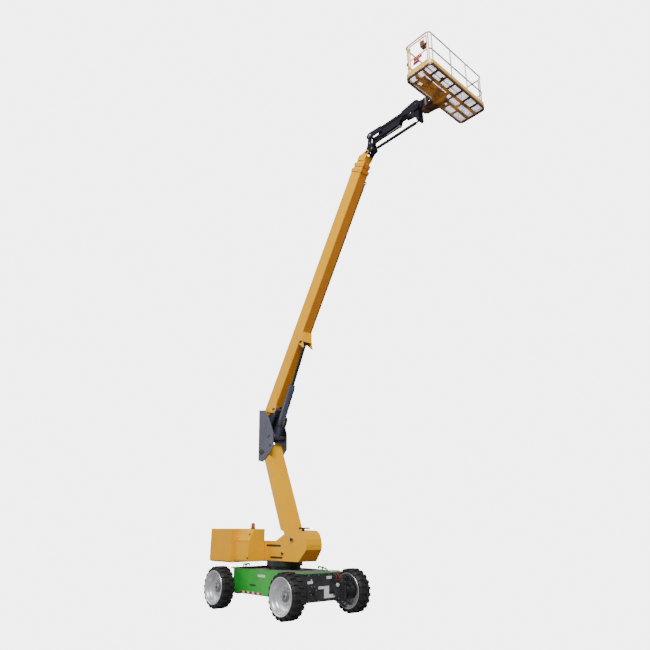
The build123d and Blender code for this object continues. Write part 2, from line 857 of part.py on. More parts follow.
step = boom_wall + boom_gap
heel_cut = ((boom_heel_s - 20, 180), (boom_heel_s, 160), (1000, 0), (1040, -20), (boom_heel_s - 20, -20))
heel_plate_s = 1005
bracket_out = boom_width / 2 + 32
with BuildPart() as boom_base_section:
    boom_tube(boom_heel_s, base_end_s, boom_width, boom_depth, boom_corner)
    boom_tube(
        base_end_s - collar_length,
        base_end_s,
        boom_width + 2 * collar_height,
        boom_depth + 2 * collar_height,
        boom_corner + 8,
    )
    boom_bore(
        heel_plate_s + boom_wall,
        base_end_s - collar_length,
        boom_width - 2 * boom_wall,
        boom_depth - 2 * boom_wall,
        boom_corner - boom_wall,
    )
    boom_bore(
        base_end_s - collar_length,
        base_end_s,
        boom_width - 2 * step + 2 * slide_gap,
        boom_depth - 2 * step + 2 * slide_gap,
        12,
    )
    outline(
        boom_plane,
        (
            (boom_heel_s - 20, -20),
            (heel_plate_s, -20),
            (heel_plate_s, boom_depth + 20),
            (boom_heel_s - 20, boom_depth + 20),
        ),
        -boom_width / 2 + boom_wall,
        boom_width / 2 - boom_wall,
        Mode.SUBTRACT,
    )
    outline(boom_plane, heel_cut, -200, 200, Mode.SUBTRACT)
    for low, high in ((-boom_width / 2 - 22, -boom_width / 2), (boom_width / 2, boom_width / 2 + 22)):
        hull(
            boom_plane,
            ((*boom_pivot_sn, 105), (760, 270, 80), (1380, 160, 60)),
            low,
            high,
        )
    for low, high in ((-bracket_out, -boom_width / 2), (boom_width / 2, bracket_out)):
        hull(boom_plane, ((*lift_eye_sn, 82), (3310, 190, 20), (3415, 5, 25)), low, high)
        hull(boom_plane, ((*lift_eye_sn, 82), (3012, -302, 20)), low, high)
        rod(boom_plane, *boom_pivot_sn, 82, min(low, high, key=abs), max(low, high, key=abs))
    outline(
        boom_plane,
        ((3150, -190), (3160, -206), (3428, -30), (3418, -14)),
        -boom_width / 2,
        boom_width / 2,
    )
    rod(boom_plane, *boom_pivot_sn, boom_pin_radius + pin_gap, -400, 400, Mode.SUBTRACT)
    for s in (1500, 2500, 4200, 5700, 7200):
        for middle in (-boom_width / 2, boom_width / 2):
            low, high = middle - 7, middle + 7
            outline(boom_plane, ((s, 60), (s + 90, 60), (s + 90, 92), (s, 92)), low, high)
save(boom_base_section, "boom_base")

ear_in = 113
ear_out = 137
sections = (
    # name, level of nesting, heel and end along the boom, whether its end has a collar
    ("boom_mid", 1, mid_heel_s, mid_end_s, True),
    ("boom_fly", 2, fly_heel_s, fly_end_s, False),
)
for name, level, heel_s, end_s, collared in sections:
    width = boom_width - 2 * step * level
    depth = boom_depth - 2 * step * level
    with BuildPart() as section:
        boom_tube(heel_s, end_s, width, depth, boom_corner - 4)
        boom_tube(
            heel_s,
            heel_s + pad_length,
            width + 2 * boom_gap - 2 * slide_gap,
            depth + 2 * boom_gap - 2 * slide_gap,
            boom_corner - boom_wall - 4 * (level - 1),
        )
        if collared:
            boom_tube(end_s - collar_length, end_s, width + 2 * collar_height, depth + 2 * collar_height, 30)
        bore_end = end_s - collar_length if collared else end_s - 200
        boom_bore(
            heel_s - 10,
            bore_end,
            width - 2 * boom_wall,
            depth - 2 * boom_wall,
            boom_corner - 4 - boom_wall,
        )
        if collared:
            boom_bore(bore_end, end_s, width - 2 * step + 2 * slide_gap, depth - 2 * step + 2 * slide_gap, 10)
        else:
            boom_bore(bore_end + 12, end_s, width - 2 * boom_wall, depth - 2 * boom_wall, 16)
            level_sn = (
                (level_pivot[0] - boom_base[0]) * cos(radians(boom_angle))
                + (level_pivot[1] - boom_base[1]) * sin(radians(boom_angle)),
                -(level_pivot[0] - boom_base[0]) * sin(radians(boom_angle))
                + (level_pivot[1] - boom_base[1]) * cos(radians(boom_angle)),
            )
            for low, high in ((-ear_out, -ear_in), (ear_in, ear_out)):
                hull(boom_plane, ((*level_sn, 75), (8900, 110, 60), (8900, 330, 60)), low, high)
            rod(boom_plane, *level_sn, 36 + pin_gap, -200, 200, Mode.SUBTRACT)
    save(section, name)

# Jib base: levelled bracket on the fly head
jib_base_out = jib_base_in + jib_base_plate
pin_reach = jib_fork_out + 12
with BuildPart() as jib_base:
    for low, high in ((-jib_base_out, -jib_base_in), (jib_base_in, jib_base_out)):
        hull(upright_side, ((*level_pivot, 78), (*jib_cylinder_pin, 78), (*link_pin, 62)), low, high)
        hull(upright_side, ((*jib_cylinder_pin, 78), (*jib_pin, 80)), low, high)
    outline(
        upright_side,
        ((3570, 12960), (3535, 12720), (3555, 12720), (3590, 12960)),
        -jib_base_in,
        jib_base_in,
    )
    for pin, radius, reach in (
        (level_pivot, 36, pin_reach),
        (jib_pin, 34, pin_reach),
        (link_pin, 24, jib_base_out + 10),
        (jib_cylinder_pin, 24, jib_base_out + 10),
    ):
        rod(upright_side, *pin, radius, -reach, reach)
save(jib_base, "jib_base")

# Jib arm: a box beam between two pairs of fork cheeks
arm_end = (jib_pin[0] + jib_reach, jib_pin[1] + jib_rise)
link_end = (link_pin[0] + jib_reach, link_pin[1] + jib_rise)
arm_angle = heading(jib_pin, arm_end)
arm_length = distance(jib_pin, arm_end)
arm_plane = side(*jib_pin, arm_angle)
fork_depth = 330
fork_tongue = 450
arm_lug = (1050, -210)
jib_cylinder_lug = along(jib_pin, arm_angle, *arm_lug)
with BuildPart() as jib_arm:
    with BuildSketch(across(*along(jib_pin, arm_angle, fork_depth, 0), arm_angle)) as face:
        RectangleRounded(2 * jib_half_width, 2 * jib_half_depth, 14)
    extrude(face.sketch, amount=arm_length - 2 * fork_depth)
    with BuildSketch(across(*along(jib_pin, arm_angle, fork_depth + 12, 0), arm_angle)) as face:
        RectangleRounded(2 * jib_half_width - 16, 2 * jib_half_depth - 16, 8)
    extrude(face.sketch, amount=arm_length - 2 * fork_depth - 24, mode=Mode.SUBTRACT)
    for low, high in ((-jib_fork_out, -jib_fork_in), (jib_fork_in, jib_fork_out)):
        hull(arm_plane, ((0, 0, 108), (fork_tongue, -65, 25), (fork_tongue, 65, 25)), low, high)
        hull(
            arm_plane,
            ((arm_length, 0, 165), (arm_length - fork_tongue, -65, 25), (arm_length - fork_tongue, 65, 25)),
            low,
            high,
        )
    for start in (fork_tongue - 60, arm_length - fork_tongue - 10):
        outline(
            arm_plane,
            ((start, -70), (start + 70, -70), (start + 70, 70), (start, 70)),
            -jib_fork_in,
            jib_fork_in,
        )
    for low, high in ((-76, -52), (52, 76)):
        hull(
            arm_plane,
            ((*arm_lug, 36), (arm_lug[0] - 90, -86, 6), (arm_lug[0] + 90, -86, 6)),
            low,
            high,
        )
    for s in (0, arm_length):
        rod(arm_plane, s, 0, 34 + pin_gap, -200, 200, Mode.SUBTRACT)
save(jib_arm, "jib_arm")

link_plane = side(*link_pin, arm_angle)
link_eye_half = jib_base_in - 5
with BuildPart() as jib_link:
    rod(across(*link_pin, arm_angle), 0, 0, 28, 0, arm_length)
    for s in (0, arm_length):
        rod(link_plane, s, 0, 44, -link_eye_half, link_eye_half)
        rod(link_plane, s, 0, 24 + pin_gap, -200, 200, Mode.SUBTRACT)
save(jib_link, "jib_link")

build_cylinder("jib_cylinder", jib_cylinder_pin, jib_cylinder_lug, 34, 32, 24, 36, 591, 20, 200)

# Platform head: keeps the platform level and carries the rotator
rotator_top_z = 13215
with BuildPart() as platform_head:
    for low, high in ((-jib_base_out, -jib_base_in), (jib_base_in, jib_base_out)):
        hull(upright_side, ((*arm_end, 84), (*link_end, 46)), low, high)
        hull(upright_side, ((*arm_end, 84), (5590, 13020, 50), (5590, 13150, 50)), low, high)
    outline(
        upright_side,
        ((5540, 13195), (5540, 12965), (5640, 12965), (5640, 13195)),
        -jib_base_out,
        jib_base_out,
    )
    rod(ground, rotator_x, 0, rotator_radius, rotator_z + slide_gap, rotator_top_z)
    for pin, radius, reach in ((arm_end, 34, pin_reach), (link_end, 24, jib_base_out + 10)):
        rod(upright_side, *pin, radius, -reach, reach)
save(platform_head, "platform_head")

# Platform: an underframe on the rotator, the floor, a toe board, the rails and the gate
platform_length = platform_front_x - platform_rear_x
platform_x = (platform_front_x + platform_rear_x) / 2
floor_top_z = floor_z + floor_height
floor_plate = 10
beam_height = floor_height - floor_plate
border = 40
corner = 110
long_beams = (6270, 6510)
front_bars = (-870, -520, -175, 175, 520, 870)
middle_bars = (-700, -20, 560)
rear_bars = (-960, 330, 700)
mount_z = floor_z - 22
with BuildPart() as platform_frame:
    rod(ground, rotator_x, 0, rotator_radius + 5, floor_z - 60, rotator_z)
    for y in (-110, 110):
        outline(
            upright_side,
            (
                (rotator_x - 40, floor_z - 60),
                (6080, floor_z - 95),
                (long_beams[1], floor_z - 40),
                (long_beams[1], floor_z),
                (rotator_x - 40, floor_z),
            ),
            -y - 12,
            -y + 12,
        )
    hull(ground, ((rotator_x, 0, 122), (6150, -230, 30), (6150, 230, 30)), mount_z, floor_z)
    outline(
        ground,
        ((6090, -1010), (6440, -1010), (6440, -160), (6330, 150), (6090, 150)),
        mount_z,
        floor_z,
    )
    outline(
        ground,
        ((6150, -950), (6260, -950), (6260, -800), (6150, -800)),
        mount_z - 10,
        floor_z,
        Mode.SUBTRACT,
    )
    for start, end in (((6110, -980), (6420, -220)), ((6420, -960), (6110, -180))):
        turn = atan2(end[1] - start[1], end[0] - start[0])
        bar = Plane(origin=(*start, mount_z), x_dir=(cos(turn), sin(turn), 0), z_dir=(0, 0, -1))
        outline(bar, ((0, -14), (distance(start, end), -14), (distance(start, end), 14), (0, 14)), 0, 34)
    with BuildSketch(ground.offset(floor_z)) as beams:
        with Locations((platform_x, 0)):
            RectangleRounded(platform_length, 2 * platform_half, corner)
            RectangleRounded(
                platform_length - 2 * border,
                2 * platform_half - 2 * border,
                corner - border,
                mode=Mode.SUBTRACT,
            )
        for x in long_beams:
            with Locations((x, 0)):
                Rectangle(34, 2 * platform_half - border)
        for places, low, high in (
            (front_bars, long_beams[1], platform_front_x - border / 2),
            (middle_bars, long_beams[0], long_beams[1]),
            (rear_bars, platform_rear_x + border / 2, long_beams[0]),
        ):
            with Locations([((low + high) / 2, y) for y in places]):
                Rectangle(high - low, 28)
    extrude(beams.sketch, amount=beam_height)
save(platform_frame, "platform_frame")

with BuildPart() as platform_floor:
    with BuildSketch(ground.offset(floor_top_z - floor_plate)):
        with Locations((platform_x, 0)):
            RectangleRounded(platform_length, 2 * platform_half, corner)
    extrude(amount=floor_plate)
save(platform_floor, "platform_floor")

toe_height = 118
toe_thickness = 6
with BuildPart() as toe_board:
    with BuildSketch(ground.offset(floor_top_z)):
        with Locations((platform_x, 0)):
            RectangleRounded(platform_length, 2 * platform_half, corner)
            RectangleRounded(
                platform_length - 2 * toe_thickness,
                2 * platform_half - 2 * toe_thickness,
                corner - toe_thickness,
                mode=Mode.SUBTRACT,
            )
    extrude(amount=toe_height)
save(toe_board, "toe_board")

# Rails: two rings of bent tube on posts, the lower one open at the gate
rail_inset = rail_radius + 9
rail_x = platform_length / 2 - rail_inset
rail_y = platform_half - rail_inset
rail_bend = 95
mid_rail_z = floor_z + 550
top_rail_z = floor_z + rail_height - rail_radius
gate_posts = (6160, 6695)
gate_tube = 16
post_radius = 17
hinge_post = (6108, -rail_y)
latch_post = (6741, -rail_y + 17)
hinge_ring = 26
post_places = (
    (platform_x - rail_x, -1085),
    (platform_x - rail_x, -350),
    (platform_x - rail_x, 350),
    (platform_x - rail_x, 1085),
    (platform_x + rail_x, -1085),
    (platform_x + rail_x, -290),
    (platform_x + rail_x, 400),
    (platform_x + rail_x, 1085),
    (6110, rail_y),
    (6680, rail_y),
    hinge_post,
    latch_post,
)
with BuildPart() as platform_rails:
    run_x = rail_x - rail_bend
    run_y = rail_y - rail_bend
    for z in (mid_rail_z, top_rail_z):
        for sign_y in (-1, 1):
            rod(Plane.YZ, sign_y * rail_y, z, rail_radius, platform_x - run_x, platform_x + run_x)
        for sign_x in (-1, 1):
            rod(Plane.XZ, platform_x + sign_x * rail_x, z, rail_radius, -run_y, run_y)
            for sign_y in (-1, 1):
                bend = (platform_x + sign_x * run_x, sign_y * run_y, z)
                with BuildSketch(Plane(origin=bend, x_dir=(sign_x, 0, 0), z_dir=(0, -sign_x, 0))) as tube:
                    with Locations((rail_bend, 0)):
                        Circle(rail_radius)
                revolve(tube.sketch, axis=Axis(bend, (0, 0, sign_x * sign_y)), revolution_arc=90)
    outline(
        ground,
        (
            (hinge_post[0], -rail_y - 60),
            (latch_post[0], -rail_y - 60),
            (latch_post[0], -rail_y + 60),
            (hinge_post[0], -rail_y + 60),
        ),
        mid_rail_z - 40,
        mid_rail_z + 40,
        Mode.SUBTRACT,
    )
    for x, y in post_places:
        rod(ground, x, y, post_radius, floor_top_z, top_rail_z)
    for z in (13150, 13790):
        rod(ground, gate_posts[0], -rail_y, hinge_ring, z, z + 24)
        outline(
            ground,
            (
                (hinge_post[0], -rail_y - 8),
                (gate_posts[0] - 18, -rail_y - 8),
                (gate_posts[0] - 18, -rail_y + 8),
                (hinge_post[0], -rail_y + 8),
            ),
            z,
            z + 24,
        )
    rod(ground, gate_posts[0], -rail_y, gate_tube + pin_gap, 13140, 13830, Mode.SUBTRACT)
save(platform_rails, "platform_rails")

gate_z = (floor_top_z + toe_height + 15, 13900)
with BuildPart() as platform_gate:
    for x in gate_posts:
        rod(ground, x, -rail_y, gate_tube, *gate_z)
    for z in (gate_z[0] + gate_tube, mid_rail_z, gate_z[1] - gate_tube):
        with BuildSketch(Plane.YZ.offset(gate_posts[0])) as face:
            with Locations((-rail_y, z)):
                Circle(gate_tube - 1)
        extrude(face.sketch, amount=gate_posts[1] - gate_posts[0])
save(platform_gate, "platform_gate")

# Control console, clamped on the top rail over the gate
console_x = (6450, 6620)
with BuildPart() as control_console:
    outline(
        Plane(origin=(0, 0, 0), x_dir=(0, 1, 0), z_dir=(1, 0, 0)),
        (
            (-rail_y + 24, 13610),
            (-1050, 13590),
            (-1015, 13640),
            (-1040, 13790),
            (-rail_y + 40, 13850),
            (-rail_y + 24, 13850),
        ),
        *console_x,
    )
    outline(
        Plane(origin=(0, 0, 0), x_dir=(0, 1, 0), z_dir=(1, 0, 0)),
        (
            (-rail_y + 24, 13830),
            (-rail_y + 40, 13830),
            (-rail_y + 40, top_rail_z + 27),
            (-rail_y - 26, top_rail_z + 27),
            (-rail_y - 26, top_rail_z - 10),
            (-rail_y + 24, top_rail_z - 10),
        ),
        console_x[0] + 45,
        console_x[1] - 45,
    )
    rod(
        Plane(origin=(0, 0, 0), x_dir=(0, 1, 0), z_dir=(1, 0, 0)),
        -rail_y,
        top_rail_z,
        rail_radius,
        *console_x,
        Mode.SUBTRACT,
    )
save(control_console, "control_console")
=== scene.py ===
# %% [markdown]
# # A boom lift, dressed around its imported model
# The machine is a self-propelled boom lift: four rubber tyres, a green chassis, a yellow
# turntable, a folding riser, a telescopic boom and a railed platform at its top. The packed
# model gives every solid and every joint. This file adds finishes and the small parts that
# make a machine look built: treads, bolts, hoses, pads, latches and grating.

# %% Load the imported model
import bpy
import bmesh
import math
from mathutils import Matrix, Vector
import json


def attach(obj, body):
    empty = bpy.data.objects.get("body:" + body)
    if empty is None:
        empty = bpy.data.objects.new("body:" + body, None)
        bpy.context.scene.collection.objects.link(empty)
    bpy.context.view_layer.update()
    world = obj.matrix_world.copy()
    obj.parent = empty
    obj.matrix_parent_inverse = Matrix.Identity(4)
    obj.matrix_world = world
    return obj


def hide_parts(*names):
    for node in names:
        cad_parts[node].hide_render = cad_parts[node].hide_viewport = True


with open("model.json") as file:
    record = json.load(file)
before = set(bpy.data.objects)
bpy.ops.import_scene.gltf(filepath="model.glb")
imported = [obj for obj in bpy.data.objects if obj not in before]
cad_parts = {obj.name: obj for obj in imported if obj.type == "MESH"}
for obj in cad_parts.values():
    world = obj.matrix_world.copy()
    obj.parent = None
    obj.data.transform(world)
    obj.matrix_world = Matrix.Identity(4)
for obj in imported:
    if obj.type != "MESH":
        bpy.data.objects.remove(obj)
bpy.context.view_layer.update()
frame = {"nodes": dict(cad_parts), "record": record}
nodes = frame["nodes"]

# %% [markdown]
# ## Camera
# The photograph was taken low and near the front right wheel, with a wide lens, so the boom
# leans back and the platform is seen from below. The camera's place, turn and lens come from
# a fit to the wheels, the chassis and the platform. It is turned by its own axes and not by
# a tracking constraint, because it also rolls by a fifth of a degree.

# %% Camera
camera_place = Vector((13.008, -10.341, 2.038))
camera_yaw = math.radians(137.803)
camera_pitch = math.radians(20.103)
camera_roll = math.radians(0.22)
camera_lens = 30.93
forward = Vector((
    math.cos(camera_yaw) * math.cos(camera_pitch),
    math.sin(camera_yaw) * math.cos(camera_pitch),
    math.sin(camera_pitch),
))
level_right = Vector((math.sin(camera_yaw), -math.cos(camera_yaw), 0))
level_up = level_right.cross(forward)
camera_right = level_right * math.cos(camera_roll) + level_up * math.sin(camera_roll)
camera_up = camera_right.cross(forward)
camera_data = bpy.data.cameras.new("photo_camera")
camera_data.sensor_width = 36
camera_data.lens = camera_lens
camera_data.clip_end = 400
camera = bpy.data.objects.new("photo_camera", camera_data)
camera.matrix_world = Matrix.Translation(camera_place) @ Matrix(
    (camera_right, camera_up, -forward)).transposed().to_4x4()
bpy.context.scene.collection.objects.link(camera)
bpy.context.scene.camera = camera
print("camera lens", camera_lens, "mm")

# %% [markdown]
# ## Floor and light
# The machine stands on a plain pale floor that runs out to a pale surround, as in a picture
# cut out on white. The surround is bright where the camera sees it and dimmer as a light, so
# the page stays pale while the paint keeps its depth. The light is a big soft panel high
# behind the camera, so the faces that look that way glow yellow and the undersides go brown,
# with a weaker panel far to the left. The undersides' brown is also painted shade in their
# paint.

# %% Floor
white = (1, 1, 1, 1)
seen_strength = 5.0


def seen_brighter(tree, shader_socket):
    """A shader's light swapped for a white glow where the camera looks straight at it."""
    path = tree.nodes.new("ShaderNodeLightPath")
    glow = tree.nodes.new("ShaderNodeEmission")
    glow.inputs["Color"].default_value = white
    glow.inputs["Strength"].default_value = seen_strength
    swap = tree.nodes.new("ShaderNodeMixShader")
    tree.links.new(path.outputs["Is Camera Ray"], swap.inputs[0])
    tree.links.new(shader_socket, swap.inputs[1])
    tree.links.new(glow.outputs[0], swap.inputs[2])
    return swap.outputs[0]


floor_paint = bpy.data.materials.new("pale_floor")
floor_paint.use_nodes = True
floor_tree = floor_paint.node_tree
floor_shader = floor_tree.nodes["Principled BSDF"]
floor_shader.inputs["Base Color"].default_value = (0.34, 0.34, 0.34, 1)
floor_shader.inputs["Roughness"].default_value = 0.9
floor_tree.links.new(seen_brighter(floor_tree, floor_shader.outputs[0]),
                     floor_tree.nodes["Material Output"].inputs["Surface"])
floor_half = 160
floor_mesh = bpy.data.meshes.new("studio_floor")
corners = [(x * floor_half, y * floor_half, 0) for x, y in ((-1, -1), (1, -1), (1, 1), (-1, 1))]
floor_mesh.from_pydata(corners, [], [(0, 1, 2, 3)])
studio_floor = bpy.data.objects.new("studio_floor", floor_mesh)
studio_floor.data.materials.append(floor_paint)
bpy.context.scene.collection.objects.link(studio_floor)

# %% Surround and panels
surround = bpy.data.worlds.new("studio_surround")
bpy.context.scene.world = surround
surround.use_nodes = True
world_tree = surround.node_tree
background = world_tree.nodes["Background"]
background.inputs["Color"].default_value = white
background.inputs["Strength"].default_value = 0.34
world_tree.links.new(seen_brighter(world_tree, background.outputs[0]),
                     world_tree.nodes["World Output"].inputs["Surface"])

light_table = (
    # name, place, aim, size, power
    ("key_panel", (16.0, -15.0, 27.0), (1.0, 0.0, 6.0), 12.0, 11500),
    ("fill_panel", (-14.0, -18.0, 8.0), (0.0, 0.0, 5.0), 10.0, 1500),
)
for light_name, place, aim, size, power in light_table:
    light_data = bpy.data.lights.new(light_name, "AREA")
    light_data.size = size
    light_data.energy = power
    light = bpy.data.objects.new(light_name, light_data)
    light.location = place
    light.rotation_euler = (Vector(aim) - Vector(place)).to_track_quat("-Z", "Y").to_euler()
    bpy.context.scene.collection.objects.link(light)
print(len(light_table), "soft panels")

# %% [markdown]
# ## Shared effects
# Paint on a machine is never one flat colour: it drifts a little, its edges rub bare, dust
# lies on what faces up, and its surface has a fine ripple. A further group paints shade into
# the colour of faces that look down. Each of these is a node group that is built once and
# given other numbers in each material.

# %% Helpers for node trees and sums
def new_group(name, inputs, outputs, kind="ShaderNodeTree"):
    """An empty node tree with its named sockets, as (tree, input node, output node)."""
    tree = bpy.data.node_groups.new(name, kind)
    for label, socket_kind, value in inputs:
        socket = tree.interface.new_socket(label, in_out="INPUT", socket_type=socket_kind)
        if value is not None:
            socket.default_value = value
    for label, socket_kind in outputs:
        tree.interface.new_socket(label, in_out="OUTPUT", socket_type=socket_kind)
    return tree, tree.nodes.new("NodeGroupInput"), tree.nodes.new("NodeGroupOutput")


def noise(tree, vector, scale, detail=4.0):
    """The grey value of a noise texture, its scale a number or a socket."""
    texture = tree.nodes.new("ShaderNodeTexNoise")
    texture.inputs["Detail"].default_value = detail
    tree.links.new(vector, texture.inputs["Vector"])
    if isinstance(scale, (int, float)):
        texture.inputs["Scale"].default_value = scale
    else:
        tree.links.new(scale, texture.inputs["Scale"])
    return texture.outputs["Fac"]


def math_node(tree, operation, first, second=None):
    """One sum on two values, each a number or a socket."""
    node = tree.nodes.new("ShaderNodeMath")
    node.operation = operation
    for socket, value in zip(node.inputs, (first, second)):
        if value is None:
            continue
        if isinstance(value, (int, float)):
            socket.default_value = value
        else:
            tree.links.new(value, socket)
    return node.outputs[0]


# %% Helpers for ranges and colours
def spread(tree, value, low, high, to_low=0.0, to_high=1.0):
    """A value stretched from one range to another and held inside it."""
    node = tree.nodes.new("ShaderNodeMapRange")
    node.inputs["From Min"].default_value = low
    node.inputs["From Max"].default_value = high
    node.inputs["To Min"].default_value = to_low
    node.inputs["To Max"].default_value = to_high
    tree.links.new(value, node.inputs["Value"])
    return node.outputs["Result"]


def mix_color(tree, factor, first, second):
    """Two colours mixed by a value, each given as a socket or a colour."""
    node = tree.nodes.new("ShaderNodeMix")
    node.data_type = "RGBA"
    tree.links.new(factor, node.inputs["Factor"])
    for socket, value in ((node.inputs["A"], first), (node.inputs["B"], second)):
        for each in (s for s in node.inputs if s.type == "RGBA" and s.name == socket.name):
            if isinstance(value, bpy.types.NodeSocket):
                tree.links.new(value, each)
            else:
                each.default_value = (*value, 1)
    return [s for s in node.outputs if s.type == "RGBA"][0]


# %% Helpers for effects
def effect_group(name, colors, numbers, results=("Color", "Mask")):
    """An empty effect, as (group, what it is given, result node)."""
    inputs = [("Vector", "NodeSocketVector", None)]
    inputs += [(label, "NodeSocketColor", (*value, 1)) for label, value in colors]
    inputs += [(label, "NodeSocketFloat", value) for label, value in numbers]
    kinds = {"Color": "NodeSocketColor"}
    outputs = [(label, kinds.get(label, "NodeSocketFloat")) for label in results]
    group, given, result = new_group(name, inputs, outputs)
    return group, given.outputs, result


def normal_height(group):
    """How far up the surface faces, from -1 to 1."""
    surface = group.nodes.new("ShaderNodeNewGeometry")
    split = group.nodes.new("ShaderNodeSeparateXYZ")
    group.links.new(surface.outputs["Normal"], split.inputs[0])
    return split.outputs["Z"]


def lay_over(group, result, mask, below, above):
    """The end of an effect: one colour over another by a mask, and the mask itself."""
    group.links.new(mix_color(group, mask, below, above), result.inputs["Color"])
    group.links.new(mask, result.inputs["Mask"])


# %% Colour drift and settled dust
def make_color_drift():
    group, given, result = effect_group(
        "color_drift", (("Light Color", (0.8, 0.8, 0.8)), ("Deep Color", (0.5, 0.5, 0.5))),
        (("Scale", 1.2),))
    broad = noise(group, given["Vector"], given["Scale"], 3.0)
    fine = noise(group, given["Vector"], math_node(group, "MULTIPLY", given["Scale"], 9.0), 5.0)
    both = math_node(group, "ADD", math_node(group, "MULTIPLY", broad, 0.7),
                     math_node(group, "MULTIPLY", fine, 0.3))
    lay_over(group, result, spread(group, both, 0.36, 0.64), given["Deep Color"],
             given["Light Color"])
    return group


def make_settled_dust():
    group, given, result = effect_group(
        "settled_dust", (("Color", (0.5, 0.5, 0.5)), ("Dust Color", (0.45, 0.42, 0.37))),
        (("Amount", 0.3),))
    upward = spread(group, normal_height(group), 0.2, 0.95, 0.25, 1.0)
    patches = spread(group, noise(group, given["Vector"], 7.0, 6.0), 0.35, 0.7)
    mask = math_node(group, "MULTIPLY", math_node(group, "MULTIPLY", upward, patches),
                     given["Amount"])
    lay_over(group, result, mask, given["Color"], given["Dust Color"])
    return group


# %% Worn edges, painted underside shade and surface ripple
def make_worn_edges():
    group, given, result = effect_group(
        "worn_edges", (("Color", (0.5, 0.5, 0.5)), ("Bare Color", (0.3, 0.3, 0.3))),
        (("Width", 0.008), ("Amount", 0.6)))
    surface = group.nodes.new("ShaderNodeNewGeometry")
    rounded = group.nodes.new("ShaderNodeBevel")
    rounded.samples = 3
    group.links.new(given["Width"], rounded.inputs["Radius"])
    across_edge = group.nodes.new("ShaderNodeVectorMath")
    across_edge.operation = "DOT_PRODUCT"
    group.links.new(surface.outputs["Normal"], across_edge.inputs[0])
    group.links.new(rounded.outputs["Normal"], across_edge.inputs[1])
    edge = spread(group, across_edge.outputs["Value"], 0.995, 0.90)
    patches = spread(group, noise(group, given["Vector"], 14.0, 8.0), 0.46, 0.62)
    mask = math_node(group, "MULTIPLY", math_node(group, "MULTIPLY", edge, patches),
                     given["Amount"])
    lay_over(group, result, mask, given["Color"], given["Bare Color"])
    return group


# Painted shade: faces that look down are mixed toward a darker under colour, in broad patches.
def make_underside_painted_shade():
    group, given, result = effect_group(
        "underside_tint", (("Color", (0.5, 0.5, 0.5)), ("Under Color", (0.3, 0.2, 0.1))), ())
    downward = spread(group, normal_height(group), -0.15, -0.5)
    patches = spread(group, noise(group, given["Vector"], 2.5, 5.0), 0.3, 0.7, 0.75, 1.0)
    lay_over(group, result, math_node(group, "MULTIPLY", downward, patches), given["Color"],
             given["Under Color"])
    return group


def make_surface_ripple():
    group, given, result = effect_group(
        "surface_ripple", (), (("Scale", 220.0), ("Broad Scale", 6.0), ("Broad Share", 0.5)),
        ("Height",))
    fine = noise(group, given["Vector"], given["Scale"], 2.0)
    broad = noise(group, given["Vector"], given["Broad Scale"], 2.0)
    total = math_node(group, "ADD", fine,
                      math_node(group, "MULTIPLY", broad, given["Broad Share"]))
    group.links.new(total, result.inputs["Height"])
    return group


color_drift = make_color_drift()
settled_dust = make_settled_dust()
worn_edges = make_worn_edges()
surface_ripple = make_surface_ripple()
underside_tint = make_underside_painted_shade()
print("shared effects:", ", ".join(group.name for group in bpy.data.node_groups))

# %% [markdown]
# ## Finishes
# Most of the machine is painted plate, so one function builds a paint from its two shades,
# its gloss, its dust and its wear. Rubber, chrome, grating and plastic use the same groups
# with other numbers, so a whole finish is one short call.

# %% One finish from its numbers
def make_finish(name, light, deep, roughness, metallic=0.0, coat=0.0, dust=0.2, wear=0.5,
                wear_width=0.006, bare=(0.22, 0.21, 0.2), drift_scale=1.1, grain=240.0,
                grain_height=0.0006, broad_share=0.5, dust_color=(0.5, 0.47, 0.42), under=None,
                other=None, other_zone=None, specular=0.5):
    """A weathered finish: drifting colour, rubbed edges, settled dust and a fine ripple, with painted shade
    on faces that look down where an under colour is given.
    """
    material = bpy.data.materials.new(name)
    material.use_nodes = True
    tree = material.node_tree
    shader = tree.nodes["Principled BSDF"]
    place = tree.nodes.new("ShaderNodeTexCoord").outputs["Object"]

    def effect(group, **values):
        node = tree.nodes.new("ShaderNodeGroup")
        node.node_tree = group
        tree.links.new(place, node.inputs["Vector"])
        for label, value in values.items():
            socket = node.inputs[label.replace("_", " ")]
            if isinstance(value, bpy.types.NodeSocket):
                tree.links.new(value, socket)
            elif isinstance(value, tuple):
                socket.default_value = (*value, 1)
            else:
                socket.default_value = value
        return node

    drift = effect(color_drift, Light_Color=light, Deep_Color=deep, Scale=drift_scale)
    color = drift.outputs["Color"]
    if other is not None:
        color = mix_color(tree, other_zone(tree, place), color, other)
    if under is not None:
        color = effect(underside_tint, Color=color, Under_Color=under).outputs["Color"]
    worn_mask = None
    if wear:
        worn = effect(worn_edges, Color=color, Bare_Color=bare, Width=wear_width, Amount=wear)
        color, worn_mask = worn.outputs["Color"], worn.outputs["Mask"]
    dusty = effect(settled_dust, Color=color, Dust_Color=dust_color, Amount=dust)
    tree.links.new(dusty.outputs["Color"], shader.inputs["Base Color"])
    rough = spread(tree, drift.outputs["Mask"], 0.0, 1.0, roughness + 0.05, roughness - 0.04)
    rough = math_node(tree, "ADD", rough, math_node(tree, "MULTIPLY", dusty.outputs["Mask"], 0.45))
    tree.links.new(rough, shader.inputs["Roughness"])
    if worn_mask is not None and metallic < 0.5:
        tree.links.new(math_node(tree, "MULTIPLY", worn_mask, 0.7), shader.inputs["Metallic"])
    else:
        shader.inputs["Metallic"].default_value = metallic
    shader.inputs["Coat Weight"].default_value = coat
    shader.inputs["Specular IOR Level"].default_value = specular
    shader.inputs["Coat Roughness"].default_value = 0.12
    ripple = effect(surface_ripple, Scale=grain, Broad_Share=broad_share)
    bump = tree.nodes.new("ShaderNodeBump")
    bump.inputs["Strength"].default_value = 0.6
    bump.inputs["Distance"].default_value = grain_height
    tree.links.new(ripple.outputs["Height"], bump.inputs["Height"])
    tree.links.new(bump.outputs["Normal"], shader.inputs["Normal"])
    return material
